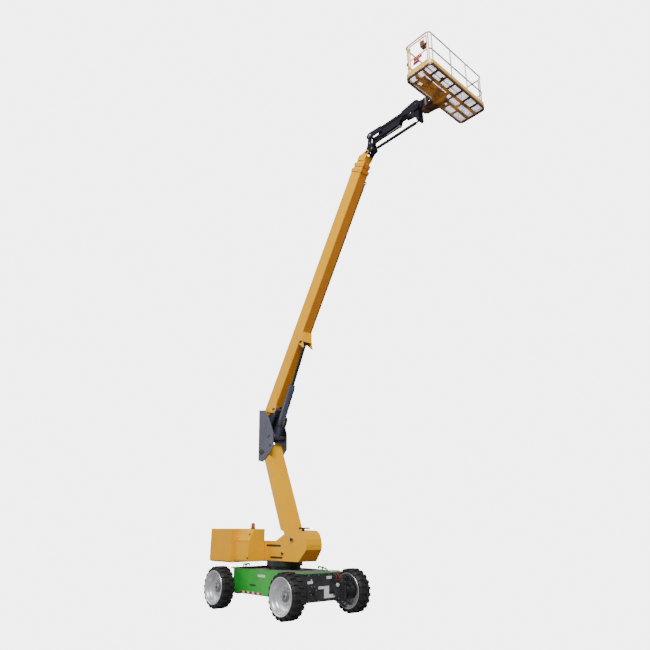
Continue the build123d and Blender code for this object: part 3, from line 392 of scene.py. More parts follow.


# %% [markdown]
# ## The machine's colours
# The body is golden, the chassis green, and the upright, cylinders and jib are slate or
# nearly black. The shades here are purer than on a paint chip, because the picture's tone
# curve greys bright colours. Two solids carry two colours: the rails turn golden at the
# gate's end, and the platform's outer frame and front row are a darker brown than its beams,
# which is painted shade. Each is one solid, so a mask by place parts its colours. A second
# material would need its faces cut apart.

# %% Zones of another colour on one solid
def zone_beyond(axis, centre, reach):
    """A mask that is 1 where the surface lies further from a centre than a reach."""
    def zone(tree, place):
        split = tree.nodes.new("ShaderNodeSeparateXYZ")
        tree.links.new(place, split.inputs[0])
        away = math_node(tree, "ABSOLUTE", math_node(tree, "SUBTRACT", split.outputs[axis], centre))
        return spread(tree, away, reach - 0.004, reach + 0.004)
    return zone


# Of the platform's rails, those at the gate's end are golden and the others grey.
gate_end = zone_beyond("Y", 1.6, 2.73)


def underframe_shade_zone(tree, place):
    """The outer frame and the front row of the platform's underside, as a mask for their darker painted
    shade.
    """
    ends = zone_beyond("Y", 0.0, 1.165)(tree, place)
    rows = zone_beyond("X", 6.285, 0.262)(tree, place)
    return math_node(tree, "MAXIMUM", ends, rows)


# %% Paints
# The under colours are painted shade, laid on the faces that look down.
yellow_paint = make_finish("golden_paint", (0.96, 0.47, 0.0), (0.90, 0.41, 0.0), 0.42, specular=0.22,
                           dust=0.03, bare=(0.30, 0.20, 0.10), under=(0.72, 0.235, 0.022))
yellow_casting = make_finish("golden_casting", (0.95, 0.44, 0.0), (0.87, 0.38, 0.0), 0.48,
                             specular=0.2, dust=0.04, grain=60.0, grain_height=0.002,
                             broad_share=1.5, under=(0.60, 0.20, 0.020))
toe_paint = make_finish("pale_golden_paint", (0.95, 0.56, 0.05), (0.86, 0.46, 0.03), 0.36, coat=0.3,
                        dust=0.1, bare=(0.32, 0.20, 0.10), drift_scale=3.0)
green_paint = make_finish("green_paint", (0.030, 0.50, 0.045), (0.018, 0.38, 0.030), 0.33,
                          coat=0.4, dust=0.16, bare=(0.10, 0.13, 0.09))
deck_sheet = make_finish("deck_sheet", (0.20, 0.19, 0.17), (0.13, 0.125, 0.115), 0.6, dust=0.4,
                         bare=(0.3, 0.29, 0.27), drift_scale=3.0)
charcoal_paint = make_finish("charcoal_paint", (0.022, 0.022, 0.030), (0.012, 0.012, 0.018), 0.5,
                             dust=0.16, bare=(0.16, 0.15, 0.14))
slate_paint = make_finish("slate_paint", (0.062, 0.066, 0.105), (0.042, 0.045, 0.078), 0.42,
                          coat=0.1, dust=0.06, bare=(0.17, 0.17, 0.18))
navy_paint = make_finish("navy_paint", (0.012, 0.012, 0.022), (0.006, 0.006, 0.012), 0.4,
                         specular=0.35, dust=0.02, bare=(0.14, 0.14, 0.15))

# %% Steel, rods, tubes and grating
black_steel = make_finish("black_steel", (0.012, 0.012, 0.014), (0.006, 0.006, 0.008), 0.45,
                          dust=0.1, bare=(0.3, 0.29, 0.28))
rod_chrome = make_finish("rod_chrome", (0.72, 0.73, 0.75), (0.60, 0.61, 0.63), 0.14, metallic=1.0,
                         dust=0.03, wear=0.0, grain=500.0, grain_height=0.0001)
# The lift cylinder's chrome rod is given a near-black colour, which paints the dark it reflects.
dark_rod = make_finish("dark_rod", (0.040, 0.036, 0.032), (0.020, 0.018, 0.016), 0.2, metallic=0.7,
                       coat=0.3, dust=0.03, wear=0.0, grain=500.0, grain_height=0.0001)
# The platform's underside is golden paint in shade: its orange and brown, its dark patches and its darker
# outer frame and front row are painted shade.
underframe_paint = make_finish("underframe_paint", (0.85, 0.34, 0.035), (0.16, 0.055, 0.012), 0.42,
                               coat=0.1, dust=0.04, bare=(0.25, 0.14, 0.07), drift_scale=3.4,
                               other=(0.085, 0.032, 0.012), other_zone=underframe_shade_zone)
grey_tube = make_finish("grey_tube_paint", (0.60, 0.55, 0.50), (0.46, 0.42, 0.37), 0.4, coat=0.2,
                        dust=0.05, wear=0.25, wear_width=0.003, drift_scale=3.0,
                        other=(0.62, 0.36, 0.08), other_zone=gate_end)
floor_grating = make_finish("bare_grating", (0.72, 0.68, 0.80), (0.58, 0.54, 0.65), 0.5,
                            dust=0.05, wear=0.0)

# %% Wheels, plastics and small finishes
tyre_rubber = make_finish("tyre_rubber", (0.016, 0.016, 0.018), (0.008, 0.008, 0.009), 0.62,
                          dust=0.10, wear=0.0, drift_scale=5.0, grain=120.0, grain_height=0.0015,
                          dust_color=(0.20, 0.19, 0.17))
silver_paint = make_finish("wheel_silver", (0.74, 0.74, 0.77), (0.58, 0.58, 0.62), 0.34,
                           metallic=0.65, dust=0.16, bare=(0.25, 0.24, 0.23), dust_color=(0.36, 0.33, 0.30))
hub_grey = make_finish("hub_grey", (0.30, 0.30, 0.32), (0.20, 0.20, 0.22), 0.34, metallic=0.6,
                       dust=0.1, wear=0.0, drift_scale=8.0)
amber_lens = make_finish("amber_lens", (0.50, 0.10, 0.04), (0.36, 0.07, 0.03), 0.18, coat=0.6,
                         dust=0.05, wear=0.0)
dark_plastic = make_finish("dark_plastic", (0.026, 0.026, 0.029), (0.014, 0.014, 0.016), 0.55,
                           dust=0.1, wear=0.0, grain=300.0, grain_height=0.0008)
brown_plastic = make_finish("brown_plastic", (0.16, 0.062, 0.032), (0.10, 0.040, 0.022), 0.5,
                            dust=0.06, wear=0.0)
zinc_steel = make_finish("zinc_steel", (0.50, 0.51, 0.53), (0.34, 0.35, 0.37), 0.32, metallic=0.9,
                         dust=0.06, wear=0.0, drift_scale=20.0)
white_plate = make_finish("white_plate", (0.80, 0.79, 0.82), (0.68, 0.67, 0.71), 0.4, dust=0.08,
                          wear=0.2, wear_width=0.002)
red_reflector = make_finish("red_reflector", (0.55, 0.02, 0.025), (0.40, 0.012, 0.016), 0.25,
                            coat=0.6, dust=0.06, wear=0.0)
plum_plate = make_finish("plum_plate", (0.20, 0.03, 0.08), (0.10, 0.014, 0.05), 0.4, coat=0.2,
                         dust=0.06, wear=0.0)
hose_rubber = make_finish("hose_rubber", (0.018, 0.018, 0.020), (0.009, 0.009, 0.010), 0.45,
                          dust=0.06, wear=0.0, grain=400.0, drift_scale=8.0)
red_hose = make_finish("red_hose", (0.30, 0.055, 0.030), (0.18, 0.032, 0.02), 0.45, dust=0.06,
                       wear=0.0)
pad_plastic = make_finish("pad_plastic", (0.09, 0.075, 0.06), (0.05, 0.042, 0.036), 0.5, dust=0.04,
                          wear=0.0)
print(len(bpy.data.materials), "materials")

# %% [markdown]
# ## Finishes on the solids
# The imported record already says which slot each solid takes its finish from, so the solids
# are painted by slot and no solid is forgotten.

# %% Paint the solids by slot
slot_finish = {
    "charcoal_paint": charcoal_paint, "green_paint": green_paint, "black_steel": black_steel,
    "yellow_paint": yellow_paint, "yellow_casting": yellow_casting, "slate_paint": slate_paint,
    "rod_chrome": rod_chrome, "orange_paint": underframe_paint, "grey_tube": grey_tube,
    "floor_grating": floor_grating, "tyre_rubber": tyre_rubber, "silver_paint": silver_paint,
    "amber_lens": amber_lens, "dark_plastic": dark_plastic, "brown_plastic": brown_plastic,
}
node_finish = {
    "toe_board": toe_paint, "lift_cylinder_rod": dark_rod,
    "jib_base": navy_paint, "jib_arm": navy_paint, "jib_link": navy_paint,
    "jib_cylinder_barrel": navy_paint, "platform_head": navy_paint,
}
for row in frame["record"]["subparts"]:
    solid = nodes[row["node"]]
    finish = node_finish.get(row["node"], slot_finish[row["material_slot"]])
    if not solid.material_slots:
        solid.data.materials.append(finish)
    for place in solid.material_slots:
        place.material = finish

# %% [markdown]
# ## How the small pieces are made
# A small piece on a machine is a few simple forms welded together: plates cut to an outline,
# round bars and turned parts. Each form is laid down straight in the machine's own place, so
# a finished piece's object stays at the origin. The edges are softened by a bevel, as paint
# and grinding soften them.

# %% Simple forms
def slab(form, low, high):
    """A block between two corners, given in either order."""
    for vert in bmesh.ops.create_cube(form, size=1)["verts"]:
        vert.co = Vector([a + (b - a) * (t + 0.5) for a, b, t in zip(low, high, vert.co)])


def bar(form, start, end, radius, sides=18):
    """A round bar between two points."""
    start, end = Vector(start), Vector(end)
    turn = (end - start).to_track_quat("Z", "Y").to_matrix().to_4x4()
    bmesh.ops.create_cone(form, cap_ends=True, segments=sides, radius1=radius, radius2=radius,
                          depth=(end - start).length,
                          matrix=Matrix.Translation((start + end) / 2) @ turn)


def turned(form, centre, axis, profile, sides=36):
    """A turned form: pairs of radius and height spun about an axis through a centre."""
    centre = Vector(centre)
    turn = Vector(axis).to_track_quat("Z", "Y").to_matrix()
    rows = []
    for radius, height in profile:
        steps = range(sides) if radius else range(1)
        rows.append([form.verts.new(centre + turn @ Vector((
            radius * math.cos(math.tau * k / sides), radius * math.sin(math.tau * k / sides),
            height))) for k in steps])
    for row, after in zip(rows, rows[1:]):
        for k in range(sides):
            n = (k + 1) % sides
            if len(row) == 1 and len(after) > 1:
                form.faces.new((row[0], after[k], after[n]))
            elif len(after) == 1 and len(row) > 1:
                form.faces.new((row[k], after[0], row[n]))
            elif len(row) > 1:
                form.faces.new((row[k], after[k], after[n], row[n]))


# %% Cut plates and finished pieces
def cut_plate(form, points, thickness):
    """A plate from its outline in space, with its thickness as a vector."""
    lower = [form.verts.new(Vector(point)) for point in points]
    upper = [form.verts.new(Vector(point) + Vector(thickness)) for point in points]
    form.faces.new(lower)
    form.faces.new(list(reversed(upper)))
    for k, start in enumerate(lower):
        n = (k + 1) % len(lower)
        form.faces.new((start, lower[n], upper[n], upper[k]))


def finished(form, name, body, finish, soft_edge=0.002, sharp=35):
    """A piece from its form, with softened edges and a finish, riding on a body."""
    bmesh.ops.remove_doubles(form, verts=form.verts, dist=0.00002)
    bmesh.ops.recalc_face_normals(form, faces=form.faces)
    mesh = bpy.data.meshes.new(name)
    form.to_mesh(mesh)
    form.free()
    mesh.shade_smooth()
    mesh.set_sharp_from_angle(angle=math.radians(sharp))
    mesh.materials.append(finish)
    piece = bpy.data.objects.new(name, mesh)
    bpy.context.scene.collection.objects.link(piece)
    if soft_edge:
        edges = piece.modifiers.new("soft_edges", "BEVEL")
        edges.width = soft_edge
        edges.segments = 2
        edges.limit_method = "ANGLE"
        edges.angle_limit = math.radians(40)
        edges.harden_normals = True
    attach(piece, body)
    return piece


print("forms: slab, bar, turned, cut_plate")

# %% [markdown]
# ## Node trees for what repeats
# Bolts, slats and studs repeat by the dozen, so each kind is one Geometry Nodes tree. Points
# say where a bolt sits and which way it faces, and the tree puts a head and a washer on each.
# The result is made a plain mesh, because instances don't survive an export.

# %% Helpers for geometry trees
def new_tree(name, inputs):
    """An empty geometry tree with named inputs, as (tree, input node, output node)."""
    shape = "Geometry", "NodeSocketGeometry"
    return new_group(name, ((*shape, None), *inputs), (shape,), "GeometryNodeTree")


def step(tree, kind, links=(), **values):
    """One node of a tree, with values on its sockets and links into them."""
    node = tree.nodes.new(kind)
    for label, value in values.items():
        if hasattr(node, label):
            setattr(node, label, value)
        else:
            node.inputs[label.replace("_", " ")].default_value = value
    for label, socket in links:
        tree.links.new(socket, node.inputs[label])
    return node


def close_tree(tree, given, result, instances):
    """The end of every tree: real geometry with its material."""
    real = step(tree, "GeometryNodeRealizeInstances", (("Geometry", instances),))
    painted = step(tree, "GeometryNodeSetMaterial",
                   (("Geometry", real.outputs[0]), ("Material", given.outputs["Finish"])))
    tree.links.new(painted.outputs[0], result.inputs["Geometry"])


def facing_turn(tree):
    """The turn that lays an instance's own up along its point's facing."""
    facing = step(tree, "GeometryNodeInputNamedAttribute", data_type="FLOAT_VECTOR")
    facing.inputs["Name"].default_value = "facing"
    return step(tree, "FunctionNodeAlignRotationToVector", (("Vector", facing.outputs[0]),),
                axis="Z").outputs[0]


# %% Growing a piece from a tree
def grown(name, mesh, tree, body, **values):
    """A plain piece grown by a tree from a source mesh, riding on a body."""
    piece = bpy.data.objects.new(name, mesh)
    bpy.context.scene.collection.objects.link(piece)
    growth = piece.modifiers.new("growth", "NODES")
    growth.node_group = tree
    for socket in tree.interface.items_tree:
        label = socket.name.replace(" ", "_")
        if socket.in_out == "INPUT" and label in values:
            growth[socket.identifier] = values[label]
    graph = bpy.context.evaluated_depsgraph_get()
    real_mesh = bpy.data.meshes.new_from_object(piece.evaluated_get(graph))
    piece.modifiers.remove(growth)
    piece.data = real_mesh
    real_mesh.name = name
    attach(piece, body)
    return piece


def points_mesh(name, places):
    """A mesh of loose points, each with the way it faces."""
    mesh = bpy.data.meshes.new(name)
    mesh.from_pydata([tuple(place) for place, way in places], [], [])
    facing = mesh.attributes.new("facing", "FLOAT_VECTOR", "POINT")
    for k, (place, way) in enumerate(places):
        facing.data[k].vector = way
    return mesh


# %% Bolts and studs on points
bolt_tree, given, result = new_tree("hex_bolts", (
    ("Head", "NodeSocketFloat", 0.012), ("Height", "NodeSocketFloat", 0.009),
    ("Washer", "NodeSocketFloat", 0.018), ("Finish", "NodeSocketMaterial", None)))
head = step(bolt_tree, "GeometryNodeMeshCylinder", (
    ("Radius", given.outputs["Head"]), ("Depth", given.outputs["Height"])), Vertices=6)
washer = step(bolt_tree, "GeometryNodeMeshCylinder", (("Radius", given.outputs["Washer"]),),
              Vertices=14, Depth=0.004)
lifted = step(bolt_tree, "GeometryNodeTransform", (("Geometry", head.outputs[0]),))
raise_head = step(bolt_tree, "ShaderNodeCombineXYZ", (
    ("Z", math_node(bolt_tree, "MULTIPLY", given.outputs["Height"], 0.5)),))
bolt_tree.links.new(raise_head.outputs[0], lifted.inputs["Translation"])
whole_bolt = step(bolt_tree, "GeometryNodeJoinGeometry")
bolt_tree.links.new(lifted.outputs[0], whole_bolt.inputs[0])
bolt_tree.links.new(washer.outputs[0], whole_bolt.inputs[0])
on_points = step(bolt_tree, "GeometryNodeInstanceOnPoints", (
    ("Points", given.outputs["Geometry"]), ("Instance", whole_bolt.outputs[0]),
    ("Rotation", facing_turn(bolt_tree))))
close_tree(bolt_tree, given, result, on_points.outputs[0])


def bolts(name, body, places, head=0.012, finish=None):
    """Hex bolts with washers on a list of (place, facing) pairs."""
    return grown(name, points_mesh(name, places), bolt_tree, body, Head=head, Height=head * 0.75,
                 Washer=head * 1.5, Finish=finish or zinc_steel)


def on_circle(centre, axis, radius, count, start=0.0):
    """Places on a circle about an axis, all facing along the axis."""
    turn = Vector(axis).to_track_quat("Z", "Y").to_matrix()
    places = []
    for k in range(count):
        angle = start + math.tau * k / count
        spoke = Vector((math.cos(angle), math.sin(angle), 0)) * radius
        places.append((Vector(centre) + turn @ spoke, Vector(axis)))
    return places


# %% Slats in a row
slat_tree, given, result = new_tree("slats_in_a_row", (
    ("Size", "NodeSocketVector", (0.1, 0.01, 0.01)), ("Start", "NodeSocketVector", (0, 0, 0)),
    ("Step", "NodeSocketVector", (0, 0.03, 0)), ("Tilt", "NodeSocketVector", (0, 0, 0)),
    ("Count", "NodeSocketInt", 10), ("Finish", "NodeSocketMaterial", None)))
one_slat = step(slat_tree, "GeometryNodeMeshCube", (("Size", given.outputs["Size"]),))
row_line = step(slat_tree, "GeometryNodeMeshLine", (
    ("Count", given.outputs["Count"]), ("Start Location", given.outputs["Start"]),
    ("Offset", given.outputs["Step"])), mode="OFFSET")
slat_turn = step(slat_tree, "FunctionNodeEulerToRotation", (("Euler", given.outputs["Tilt"]),))
slats = step(slat_tree, "GeometryNodeInstanceOnPoints", (
    ("Points", row_line.outputs[0]), ("Instance", one_slat.outputs[0]),
    ("Rotation", slat_turn.outputs[0])))
close_tree(slat_tree, given, result, slats.outputs[0])


def slat_row(name, body, size, start, pitch, count, finish, tilt=(0, 0, 0)):
    """A row of like bars, each centred on its place."""
    return grown(name, bpy.data.meshes.new(name), slat_tree, body, Size=size, Start=start,
                 Step=pitch, Tilt=tilt, Count=count, Finish=finish)


print("trees:", bolt_tree.name, "and", slat_tree.name)

# %% [markdown]
# ## Wheels
# The solids already have the lugged tyre and the dished rim. A real wheel of this kind adds a
# stepped hub cover with a plug, a ring of wheel nuts, a valve and fine rings moulded in the
# tyre's wall. Nearly all of it is turned work, so profiles are spun about each wheel's axle.

# %% Hubs, nuts, rings and valves
machine_sides = ((-1, "right"), (1, "left"))
wheel_y = 1.102
wheel_z = 0.535
wheel_table = (
    # name, axle x, side
    ("front_right", 1.49, -1), ("front_left", 1.49, 1),
    ("rear_right", -1.49, -1), ("rear_left", -1.49, 1),
)
# The profiles are pairs of radius and height over the wheel's middle.
hub_profile = ((0.0, 0.074), (0.026, 0.074), (0.030, 0.080), (0.082, 0.080), (0.092, 0.070),
               (0.096, 0.050), (0.132, 0.047), (0.138, 0.041), (0.138, 0.034), (0.0, 0.034))
weld_profile = ((0.185, 0.0345), (0.190, 0.040), (0.196, 0.040), (0.202, 0.0345), (0.185, 0.0345))
plug_profile = ((0.0, 0.0805), (0.022, 0.0805), (0.022, 0.086), (0.0, 0.086))
wall_rings = (
    # radius, height
    (0.447, 0.1905), (0.462, 0.1865),
)
for wheel_name, axle_x, hand in wheel_table:
    body = "wheel_" + wheel_name
    outward = (0, hand, 0)
    centre = Vector((axle_x, hand * wheel_y, wheel_z))
    form = bmesh.new()
    turned(form, centre, outward, hub_profile)
    turned(form, centre, outward, weld_profile)
    finished(form, "hub_rings_" + wheel_name, body, hub_grey, soft_edge=0.0015)
    nut_centre = centre + Vector((0, hand * 0.036, 0))
    screw_centre = centre + Vector((0, hand * 0.080, 0))
    bolts("wheel_nuts_" + wheel_name, body, on_circle(nut_centre, outward, 0.165, 10), head=0.014)
    bolts("hub_screws_" + wheel_name, body, on_circle(screw_centre, outward, 0.058, 6), head=0.008)
    form = bmesh.new()
    bar(form, centre + Vector((0.28, hand * 0.045, 0)), centre + Vector((0.292, hand * 0.088, 0)), 0.006)
    turned(form, centre, outward, plug_profile, sides=6)
    finished(form, "valve_and_plug_" + wheel_name, body, black_steel, soft_edge=0.001)
    form = bmesh.new()
    for radius, height in wall_rings:
        turned(form, centre, outward, ((radius - 0.004, height - 0.006), (radius, height + 0.003),
                                       (radius + 0.004, height - 0.006),
                                       (radius - 0.004, height - 0.006)), sides=64)
    finished(form, "sidewall_rings_" + wheel_name, body, tyre_rubber, soft_edge=0)
print(len(wheel_table), "wheels dressed")

# %% [markdown]
# ## Chassis: sheets, plates and reflectors
# The chassis carries a grey walking sheet on its deck with raised studs, blank tags and
# plates at the front, and a strip of red and white reflectors low on each green panel. The
# studs are one stamped shape on a grid, so they are points for a node tree.

# %% Deck sheet and its studs
deck_top = 1.020
sheet_top = deck_top + 0.004
sheet_side = 0.60
slew_clear = 0.52
sheet_table = (
    # low x, low y, high x, high y of the sheets round the slewing ring
    (-1.58, -sheet_side, -slew_clear, sheet_side), (slew_clear, -sheet_side, 1.55, sheet_side),
    (-slew_clear, slew_clear, slew_clear, sheet_side),
    (-slew_clear, -sheet_side, slew_clear, -slew_clear),
)
form = bmesh.new()
for low_x, low_y, high_x, high_y in sheet_table:
    slab(form, (low_x, low_y, deck_top), (high_x, high_y, sheet_top))
finished(form, "deck_sheet", "chassis", deck_sheet, soft_edge=0)

stud_tree, given, result = new_tree("sheet_studs", (
    ("Long", "NodeSocketFloat", 0.015), ("Finish", "NodeSocketMaterial", None)))
stud = step(stud_tree, "GeometryNodeMeshCylinder", (("Radius", given.outputs["Long"]),),
            Vertices=4, Depth=0.006)
narrow = step(stud_tree, "GeometryNodeTransform", (("Geometry", stud.outputs[0]),),
              Scale=(1.0, 0.32, 1.0))
on_points = step(stud_tree, "GeometryNodeInstanceOnPoints", (
    ("Points", given.outputs["Geometry"]), ("Instance", narrow.outputs[0]),
    ("Rotation", facing_turn(stud_tree))))
turned_stud = step(stud_tree, "GeometryNodeRotateInstances", (("Instances", on_points.outputs[0]),))
turn_value = step(stud_tree, "GeometryNodeInputNamedAttribute", data_type="FLOAT_VECTOR")
turn_value.inputs["Name"].default_value = "swing"
swing_turn = step(stud_tree, "FunctionNodeEulerToRotation", (("Euler", turn_value.outputs[0]),))
stud_tree.links.new(swing_turn.outputs[0], turned_stud.inputs["Rotation"])
close_tree(stud_tree, given, result, turned_stud.outputs[0])

stud_pitch = 0.034
stud_places = []
stud_swings = []
for row in range(-17, 18):
    for column in range(-46, 46):
        place = Vector((column * stud_pitch, row * stud_pitch, sheet_top))
        if place.xy.length > slew_clear + 0.02 and abs(place.x) < 1.54:
            stud_places.append((place, (0, 0, 1)))
            stud_swings.append((0, 0, math.radians(45 if (row + column) % 2 else -45)))
stud_mesh = points_mesh("deck_studs", stud_places)
swing = stud_mesh.attributes.new("swing", "FLOAT_VECTOR", "POINT")
for k, value in enumerate(stud_swings):
    swing.data[k].vector = value
grown("deck_studs", stud_mesh, stud_tree, "chassis", Long=0.013, Finish=deck_sheet)
print(len(stud_places), "studs")

# %% Reflectors, plates and handles on the side panels
panel_y = 0.730
for hand, side_name in machine_sides:
    face = hand * panel_y
    red, pale = bmesh.new(), bmesh.new()
    for k in range(9):
        x = -1.0 + 0.112 * k
        slab(pale if k % 2 else red, (x, face, 0.415), (x + 0.088, face + hand * 0.004, 0.470))
    finished(red, "reflectors_red_" + side_name, "chassis", red_reflector, soft_edge=0.001)
    finished(pale, "reflectors_white_" + side_name, "chassis", white_plate, soft_edge=0.001)
    form = bmesh.new()
    slab(form, (-0.21, face, 0.845), (0.11, face + hand * 0.003, 0.905))
    finished(form, "panel_plate_" + side_name, "chassis", white_plate, soft_edge=0.001)
    form = bmesh.new()
    grip = face + hand * 0.006
    slab(form, (-0.56, face, 0.618), (-0.30, grip, 0.652))
    bar(form, (-0.52, grip, 0.635), (-0.34, grip, 0.635), 0.009)
    finished(form, "panel_handle_" + side_name, "chassis", black_steel)
    edge_places = [(Vector((x, face, z)), Vector((0, hand, 0)))
                   for x in (-1.30, -0.86, -0.42, 0.02, 0.46, 0.80) for z in (0.52, 0.965)]
    bolts("panel_bolts_" + side_name, "chassis", edge_places, head=0.010, finish=green_paint)

# %% Blank plates and bolts at the front
front_x = 1.600
plate_table = (
    # low y, high y, low z, high z
    (-0.545, -0.375, 0.775, 0.835), (-0.435, -0.400, 0.835, 0.880),
    (-0.185, 0.170, 0.640, 0.702), (0.004, 0.170, 0.425, 0.640), (0.170, 0.380, 0.428, 0.510),
    (0.086, 0.262, 0.862, 0.928),
)
form = bmesh.new()
for low_y, high_y, low_z, high_z in plate_table:
    slab(form, (front_x, low_y, low_z), (front_x + 0.006, high_y, high_z))
slab(form, (1.500, 0.30, 1.024), (1.590, 0.42, 1.060))
slab(form, (1.500, 0.46, 1.024), (1.590, 0.56, 1.050))
finished(form, "front_plates", "chassis", white_plate, soft_edge=0.001)
front_places = [(Vector((front_x, y, z)), Vector((1, 0, 0)))
                for y in (-0.50, -0.17, 0.17, 0.50) for z in (0.385, 0.965)]
motor_centre = (front_x, -0.36, 0.62)
front_places += on_circle(motor_centre, (1, 0, 0), 0.10, 6)
bolts("front_bolts", "chassis", front_places, head=0.011)

# %% Front block, cap, cover and hose fittings
form = bmesh.new()
turned(form, (front_x, 0.465, 0.707), (1, 0, 0), (
    (0.0, 0.0), (0.052, 0.0), (0.052, 0.012), (0.044, 0.030), (0.030, 0.036), (0.0, 0.036)))
finished(form, "front_cap", "chassis", white_plate)
form = bmesh.new()
slab(form, (front_x, 0.255, 0.800), (front_x + 0.040, 0.560, 0.850))
slab(form, (front_x, 0.200, 0.548), (front_x + 0.030, 0.345, 0.600))
turned(form, motor_centre, (1, 0, 0), (
    (0.0, 0.0), (0.075, 0.0), (0.075, 0.020), (0.045, 0.032), (0.0, 0.032)))
for y in (0.300, 0.380, 0.460, 0.535):
    bar(form, (front_x + 0.020, y, 0.850), (front_x + 0.020, y, 0.872), 0.014, sides=6)
    bar(form, (front_x, y, 0.975), (front_x + 0.022, y, 0.975), 0.014, sides=6)
finished(form, "front_valve_block", "chassis", black_steel)
print("front dressed")

# %% [markdown]
# ## Wheel discs
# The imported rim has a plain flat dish. A pressed disc has a hub face, a step, a bowl and a
# rolled lip that shows as a bright ring, so one closed profile is spun in its place.

# %% Wheel discs
disc_profile = (
    # radius and height over the wheel's middle, from the plug out to the lip and round the back
    (0.0, 0.034), (0.150, 0.034), (0.206, 0.040), (0.216, 0.022), (0.300, 0.026), (0.338, 0.044),
    (0.352, 0.090), (0.360, 0.158), (0.388, 0.188), (0.414, 0.199), (0.428, 0.199), (0.434, 0.190),
    (0.426, 0.182), (0.384, 0.168), (0.384, -0.168), (0.426, -0.182), (0.434, -0.190),
    (0.428, -0.197), (0.412, -0.196), (0.360, -0.158), (0.352, 0.030), (0.334, 0.014),
    (0.250, 0.004), (0.190, -0.012), (0.0, -0.012),
)
for wheel_name, axle_x, hand in wheel_table:
    form = bmesh.new()
    turned(form, (axle_x, hand * wheel_y, wheel_z), (0, hand, 0), disc_profile, sides=72)
    disc = finished(form, "wheel_disc_" + wheel_name, "wheel_" + wheel_name, silver_paint,
                    soft_edge=0, sharp=50)
    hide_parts("rim_" + wheel_name)
print(len(disc_profile), "points on the disc's profile")

# %% [markdown]
# ## Hoses on the chassis
# Three short brown-red pressure hoses loop out of the chassis front beside the left wheel.
# Each is held at both ends and stiff for its length, so it is one smooth spline through a
# few points, with a bend of about four times its thickness.

# %% Front hoses
def hose(name, body, points, diameter, finish):
    """A hose held at both ends: one smooth spline, whose measured length is returned."""
    curve = bpy.data.curves.new(name, "CURVE")
    curve.dimensions = "3D"
    spline = curve.splines.new("NURBS")
    spline.points.add(len(points) - 1)
    for k, place in enumerate(points):
        spline.points[k].co = (*place, 1)
    spline.order_u = 3
    spline.use_endpoint_u = True
    curve.resolution_u = 10
    piece = bpy.data.objects.new(name, curve)
    bpy.context.scene.collection.objects.link(piece)
    graph = bpy.context.evaluated_depsgraph_get()
    line = bpy.data.meshes.new_from_object(piece.evaluated_get(graph))
    length = sum((line.vertices[a].co - line.vertices[b].co).length for a, b in
                 (edge.vertices for edge in line.edges))
    bpy.data.meshes.remove(line)
    curve.bevel_depth = diameter / 2
    curve.bevel_resolution = 4
    curve.use_fill_caps = True
    curve.materials.append(finish)
    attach(piece, body)
    return length


for k, (upper_y, lower_y) in enumerate(((0.300, 0.330), (0.380, 0.415), (0.460, 0.495))):
    middle_y = (upper_y + lower_y) / 2
    measured = hose("front_hose_%d" % (k + 1), "chassis", (
        (front_x + 0.010, upper_y, 0.975), (front_x + 0.070, upper_y, 0.972),
        (front_x + 0.120, upper_y, 0.950), (front_x + 0.140, middle_y, 0.896),
        (front_x + 0.120, lower_y, 0.846), (front_x + 0.080, lower_y, 0.826),
        (front_x + 0.030, lower_y, 0.825)), 0.014, red_hose)
    print("front hose", k + 1, "is", round(measured, 3), "m long")

# %% [markdown]
# ## Turntable and upright: pins, slots, teeth
# The side plates carry the machine's pins, whose ends show as dark caps, each held by a
# keeper plate with one bolt. The long slots in the turntable's plates look black because the
# space behind them is in shade, so a black plate behind each paints that shade. Bolts ring
# the slewing bearing, and its teeth are the deck's studs again, set on edge round a circle.

# %% Pin caps with keepers
def pin_caps(name, body, pins, finish=None, lift=0.016, hands=(-1, 1)):
    """Caps on the ends of pins across the machine, each with a keeper plate and a bolt."""
    form = bmesh.new()
    places = []
    for x, z, face, radius in pins:
        for hand in hands:
            turned(form, (x, hand * face, z), (0, hand, 0), (
                (0.0, -0.004), (radius, -0.004), (radius, lift * 0.6), (radius * 0.82, lift),
                (radius * 0.35, lift), (radius * 0.30, lift * 0.6), (0.0, lift * 0.6)), 28)
            keeper = hand * (face + lift / 2)
            slab(form, (x + radius * 0.4, hand * face, z - radius * 0.45),
                 (x + radius * 1.9, keeper, z + radius * 0.45))
            places.append((Vector((x + radius * 1.6, keeper, z)), Vector((0, hand, 0))))
    finished(form, name, body, finish or black_steel, soft_edge=0.0015)
    bolts(name + "_bolts", body, places, head=0.008, finish=black_steel)


# Each pin is its x and z, how far out its cap's face is, and the cap's radius.
pin_caps("turntable_pins", "turntable", ((0.686, 1.783, 0.357, 0.046), (0.305, 1.433, 0.353, 0.034)))
pin_caps("riser_head_pin", "upright", ((-0.878, 4.210, 0.328, 0.076),), finish=dark_plastic,
         lift=0.013)
pin_caps("lift_foot_pin", "upright", ((-0.55, 4.65, 0.317, 0.036),))
pin_caps("level_pin", "upright", ((-0.446, 4.363, 0.317, 0.030),), hands=(-1,))
pin_caps("boom_foot_pin", "upright", ((-0.5232, 5.467, 0.182, 0.044),))

# %% Painted shade behind the slots, bearing bolts and teeth
slot_table = (
    # middle x, middle z, length, height
    (-0.090, 1.617, 0.650, 0.056), (0.040, 1.318, 0.550, 0.052),
)
# Black plates behind the slots paint the shade inside them.
form = bmesh.new()
for x, z, length, height in slot_table:
    for hand in (-1, 1):
        slab(form, (x - length / 2, hand * 0.302, z - height / 2),
             (x + length / 2, hand * 0.324, z + height / 2))
finished(form, "slot_liners", "turntable", black_steel, soft_edge=0)
bolts("slew_bolts", "turntable", on_circle((0, 0, 1.240), (0, 0, 1), 0.455, 36), head=0.013)
tooth_count = 84
tooth_places = []
for k in range(tooth_count):
    angle = math.tau * k / tooth_count
    spoke = Vector((math.cos(angle), math.sin(angle), 0))
    tooth_places.append((spoke * 0.437 + Vector((0, 0, 1.066)), spoke))
grown("slew_teeth", points_mesh("slew_teeth", tooth_places), stud_tree, "chassis", Long=0.016,
      Finish=black_steel)

